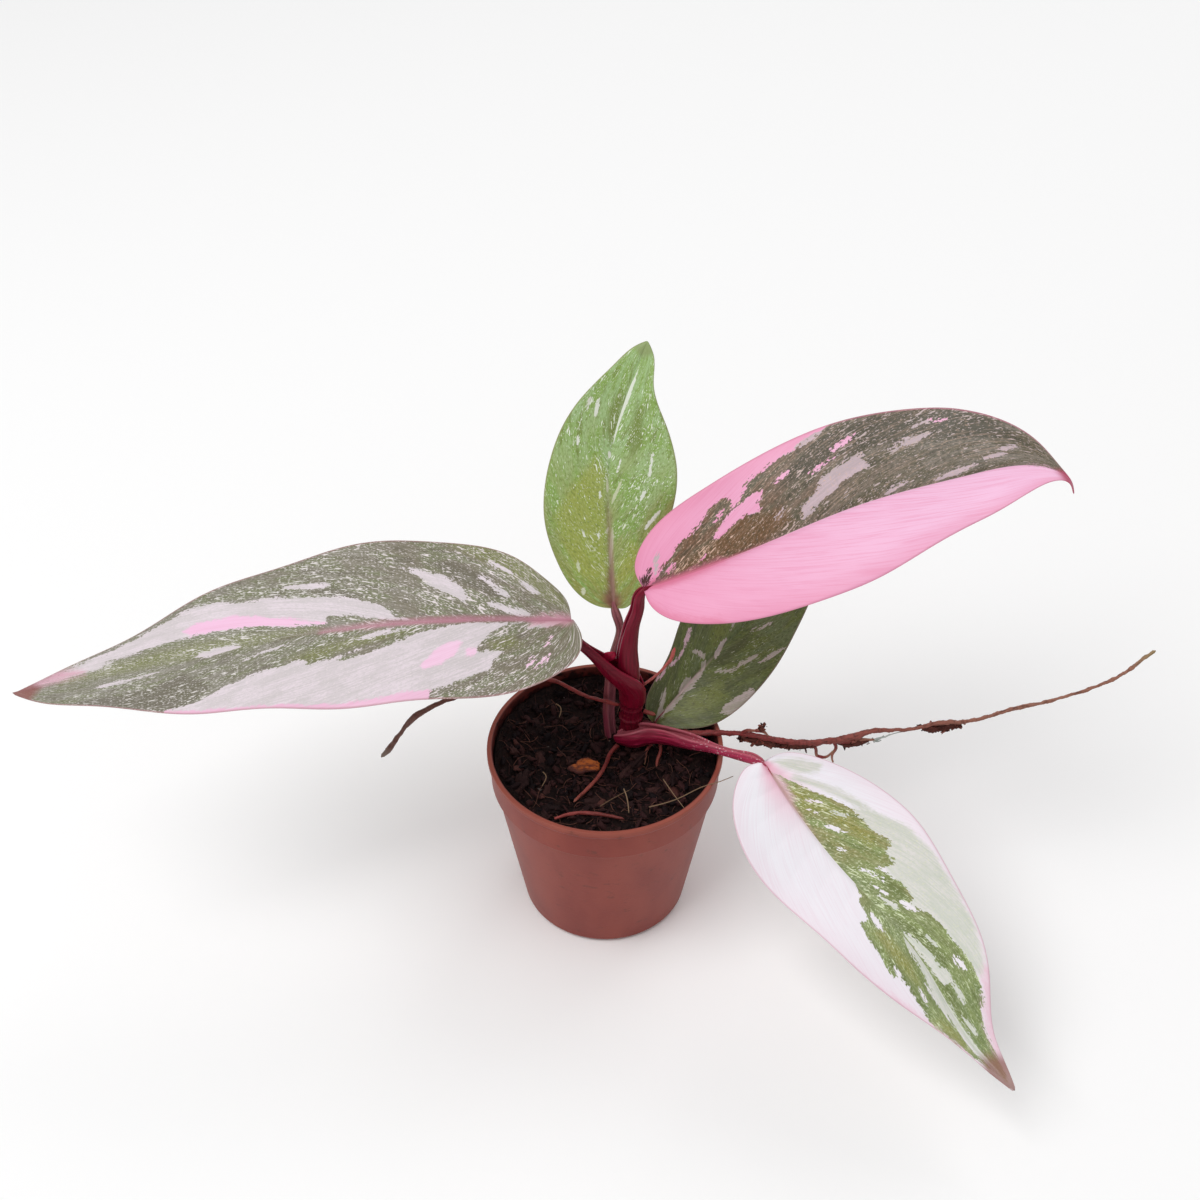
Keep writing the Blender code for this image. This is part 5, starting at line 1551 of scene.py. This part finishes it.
def scatter(name, count, sizes, flat, cuts, finish, find_spot=spot_on_mix):
    """Many small uneven grains; sizes run from small to large, and small ones prevail."""
    template, faces = ball_template(cuts)
    shapes = []
    for i in range(count):
        size = sizes[0] + (sizes[1] - sizes[0]) * chance.random()**3
        shape = np.array([chance.uniform(0.8, 2.2), chance.uniform(0.45, 1.0),
                          flat * chance.uniform(0.6, 1.2)])
        tilt = [chance.uniform(-TILT, TILT), chance.uniform(-TILT, TILT), chance.uniform(0, FULL_TURN)]
        bumps = np.array([1 + UNEVEN * noise.noise(Vector(corner) * 1.9 + Vector((3.1 * i, 0, 0)))
                          + 0.6 * UNEVEN * noise.noise(Vector(corner) * 4.5 + Vector((0, 2.7 * i, 0)))
                          for corner in template])
        grain = (template * bumps[:, None] * shape * size / 2) @ np.array(Euler(tilt).to_matrix()).T
        x, y, z = find_spot(size)
        shapes.append((grain + np.array([x, y, z + 0.18 * size * flat]), faces, chance.random()))
    one_mesh(name, shapes, finish)


def grain_finish(name, dark, light):
    mixture = Recipe(name, roughness=0.75, shine=0.15)
    fine = mixture.noise(mixture.stored("place", "Vector"), 3.5, 4.0, 0.7)
    shade = mixture.add(mixture.stored("tint"), mixture.both(mixture.centred(fine), 0.8))
    mixture.relief(fine, 0.15, 0.8)
    return mixture.colour(mixture.lay(dark, light, shade, 0.0, 1.1))


GRAINS = [  # piece, finish, count, sizes, flatness, cuts of the ball, dark tint, light tint
    ("mix_crumbs", "peat_crumbs", 1500, (0.35, 2.0), 0.6, 2, (.005, .002, .003), (.038, .012, .012)),
    ("mix_clods", "peat_clods", 30, (2.2, 4.8), 0.45, 3, (.006, .0025, .003), (.05, .019, .017)),
    ("mix_bark_bits", "bark_bits", 60, (0.8, 2.8), 0.3, 2, (.014, .005, .005), (.08, .027, .022)),
    ("mix_grit", "grit", 12, (0.4, 0.8), 0.8, 2, (.08, .065, .06), (.3, .25, .22)),
]
for name, finish_name, count, sizes, flat, cuts, dark, light in GRAINS:
    scatter(name, count, sizes, flat, cuts, grain_finish(finish_name, dark, light))

# %% [markdown]
# Fibres are slim tubes with a random bend. A few longer tan ones are given one by one, where they catch
# the eye in the picture, and one of them reaches over the rim.

# %% Fibres
FIBRE_COUNT = 260
FIBRE_ROWS, FIBRE_SIDES = 14, 6
WALL_CLEAR = 0.4
FIBRES = [
    [(10.0, -15.9, 44.2), (17.1, -14.3, 45.6), (22.5, -12.6, 47.6), (25.6, -12.2, 48.5),
     (29.2, -10.6, 48.8)],
    [(13.4, -7.3, 44.3), (15.8, -12.9, 45.0), (18.0, -17.6, 45.6)],
    [(4.3, -10.4, 44.3), (5.0, -13.8, 44.9), (5.4, -17.7, 44.3)],
    [(-1.2, -15.6, 44.1), (2.3, -13.5, 44.9), (5.7, -10.7, 44.3)],
    [(-14.4, -5.1, 44.3), (-13.6, -7.3, 44.9), (-14.5, -9.5, 44.3)],
    [(-11.7, 16.5, 45.0), (-10.5, 14.5, 45.4), (-10.9, 12.5, 44.5)],
]


def bent_fibre():
    """A random thin line that lies on the mix."""
    x, y, z = spot_on_mix(2.5)
    heading, length = chance.uniform(0, FULL_TURN), chance.uniform(2.0, 7.0)
    farthest = top_radius - WALL_CLEAR
    points = []
    for i in range(4):
        points.append((x, y, mix_height(x, y) + 0.25 + chance.uniform(-0.25, 0.5)))
        heading += chance.uniform(-0.6, 0.6)
        x += math.cos(heading) * length / 3
        y += math.sin(heading) * length / 3
        back = min(farthest / math.hypot(x, y), 1)
        x, y = x * back, y * back
    return points


def fibre_bundle(name, lines, thick, finish):
    """Slim tubes along the lines, each a little thicker or thinner and narrower at its end."""
    shapes = []
    for line in lines:
        radius = thick * chance.uniform(0.6, 1.2)
        radii = [radius * (1 - 0.5 * i / len(line)) for i in range(len(line))]
        shapes.append((*closed(tube_rings(line, radii, FIBRE_ROWS, FIBRE_SIDES)[0]), chance.random()))
    one_mesh(name, shapes, finish)


fibre_skin = grain_finish("fibre_skin", (.026, .008, .008), (.12, .050, .036))
tan_skin = grain_finish("tan_fibre_skin", (.125, .072, .042), (.25, .165, .10))
fibre_bundle("mix_fibres", [bent_fibre() for _ in range(FIBRE_COUNT)], 0.11, fibre_skin)
fibre_bundle("tan_fibres", FIBRES, 0.16, tan_skin)

# %% [markdown]
# ## Peat on the long root
# This root has been pulled out of the mix, so peat still clings to its underside in three crusts, with
# loose crumbs and fine root strands round them. A crust is the same noisy tube as a root, only rougher,
# set a little lower than the root, so that the smooth red tube shows above it.

# %% Crusts, strands and crumbs
CRUSTS = [
    [(31, 1.0, 49.6), (34.1, -0.2, 49.7), (39.3, -1.8, 50.4), (43.8, -2.7, 50.4), (46.4, -2.8, 50.7),
     (49.1, -2.5, 51.3)],
    [(53.7, -2.2, 51.0), (56.6, -1.9, 50.5), (59.5, -1.2, 50.5), (61.0, -0.9, 50.3)],
    [(73.5, 1.7, 51.7), (76.7, 2.1, 51.5), (80.3, 2.7, 51.2), (83.0, 3.3, 51.3)],
]
CRUST_RADIUS, CRUST_END = 0.72, 0.25
CRUST_ROWS, CRUST_SIDES = 90, 20
TUFT = (36.1, -1.1, 54.9)
TUFT_SHARE = 0.08
STRANDS = 16
crust_lines = [smooth_line(path, 60) for path in CRUSTS]


def spot_on_root(reach):
    """A random place close to one of the crusts; the longest gets the most crumbs."""
    line = chance.choices(crust_lines, [6, 2, 3])[0]
    if chance.random() < TUFT_SHARE:
        line = [(TUFT[0] + chance.gauss(0, 0.3), TUFT[1], TUFT[2] + chance.gauss(0, 0.3))]
    x, y, z = chance.choice(line)
    return x + chance.gauss(0, 0.35), y + chance.gauss(0, 0.45), z + chance.gauss(-0.05, 0.42)


def strand():
    """A fine root that creeps along the long root and leaves it here and there."""
    line = chance.choices(crust_lines, [6, 2, 4])[0]
    first = chance.randrange(0, 25)
    picked = line[first:first + chance.randrange(18, 34):4]
    return [(x + chance.gauss(0, 0.3), y + chance.gauss(0, 0.5), z + 0.4 + chance.gauss(0, 0.55))
            for x, y, z in picked]


crust_skin = grain_finish("root_peat", (.028, .009, .008), (.20, .060, .042))
for number, path in enumerate(CRUSTS):
    radii = [CRUST_END, *[CRUST_RADIUS] * (len(path) - 2), CRUST_END]
    rings, _ = tube_rings(path, radii, CRUST_ROWS, CRUST_SIDES, root_shape(0.75, 40.0 + 9 * number))
    one_mesh(f"root_crust_{number + 1}", [(*closed(rings), 0.4)], crust_skin)
scatter("root_crumbs", 300, (0.25, 1.1), 0.8, 2, crust_skin, spot_on_root)
strand_skin = grain_finish("root_strand_skin", (.06, .012, .010), (.24, .055, .040))
fibre_bundle("root_strands", [strand() for _ in range(STRANDS)], 0.17, strand_skin)
PALE_FIBRES = [
    [(62.8, -0.4, 50.3), (64.9, 0.1, 50.7), (67.2, 0.7, 51.2), (70.1, 1.2, 51.4)],
    [(62.2, -0.9, 50.0), (63.4, -0.3, 50.2), (64.6, 0.2, 50.9)],
    [(61.8, -0.4, 50.8), (62.9, -0.8, 50.0), (64.0, -0.2, 49.8)],
    [(62.0, -0.7, 50.3), (63.2, -0.5, 50.8), (64.9, 0.3, 50.4), (66.0, 0.5, 51.0)],
]
pale_skin = grain_finish("pale_fibre_skin", (.22, .26, .22), (.62, .64, .62))
fibre_bundle("pale_fibres", PALE_FIBRES, 0.22, pale_skin)

# %% [markdown]
# ## Bark chip
# One orange flake of bark lies on the mix. It is a flattened ball whose faces step like torn layers: the
# height is rounded to a few levels, the outline is notched, and its lower front left is painted shade.

# %% Bark chip
CHIP_PLACE = (-4.4, -2.8, 43.8)
CHIP_SIZE = (7.2, 3.8, 2.6)
CHIP_TURN = math.radians(12)
CHIP_LEVELS = 3
TORN = 0.45

chip_mix = Recipe("bark_chip", roughness=0.7)
place = chip_mix.stored("place", "Vector")
layer = chip_mix.noise(place, (0.5, 2.2, 3.0), 4.0, 0.6)
stain = chip_mix.noise(place, 0.6, 3.0)
chip_colour = chip_mix.lay((.43, .1, .01), (.15, .026, .008), layer, 0.46, 0.64)
chip_colour = chip_mix.lay(chip_colour, (.09, .018, .009), stain, 0.50, 0.66, top=0.8)
# Painted shade: the lower, front left side of the chip goes dark maroon.
chip_colour = chip_mix.lay(chip_colour, (.045, .009, .012), chip_mix.stored("level"), -0.1, 0.55, 0.9, 0.0)
chip_mix.relief(layer, 0.4, 0.9)

template, chip_faces = ball_template(4)
chip_points = []
for x, y, z in template:
    ragged = 1 + 0.16 * math.sin(4.5 * x + 2 * y) + 0.1 * math.cos(6.5 * y)
    ragged += 0.08 * noise.noise(Vector((3 * x, 3 * y, 1.0)))
    z += 0.25 * noise.noise(Vector((2.5 * x, 6 * y, 4.0)))
    step = round(z * CHIP_LEVELS) / CHIP_LEVELS
    chip_points.append((x * ragged, y * ragged, (1 - TORN) * z + TORN * step))
cos, sin = math.cos(CHIP_TURN), math.sin(CHIP_TURN)
turned = np.array([[cos, sin, 0], [-sin, cos, 0], [0, 0, 1]])
chip_points = np.array(chip_points) * np.array(CHIP_SIZE) / 2 @ turned + np.array(CHIP_PLACE)
# level rises up the chip and towards its back right, and sets where the finish paints shade.
add_piece("orange_bark_chip", chip_points, chip_faces, chip_mix.colour(chip_colour), ["bark_chip"],
          {"place": chip_points, "level": template @ np.array([0.35, 0.25, 1.0])})
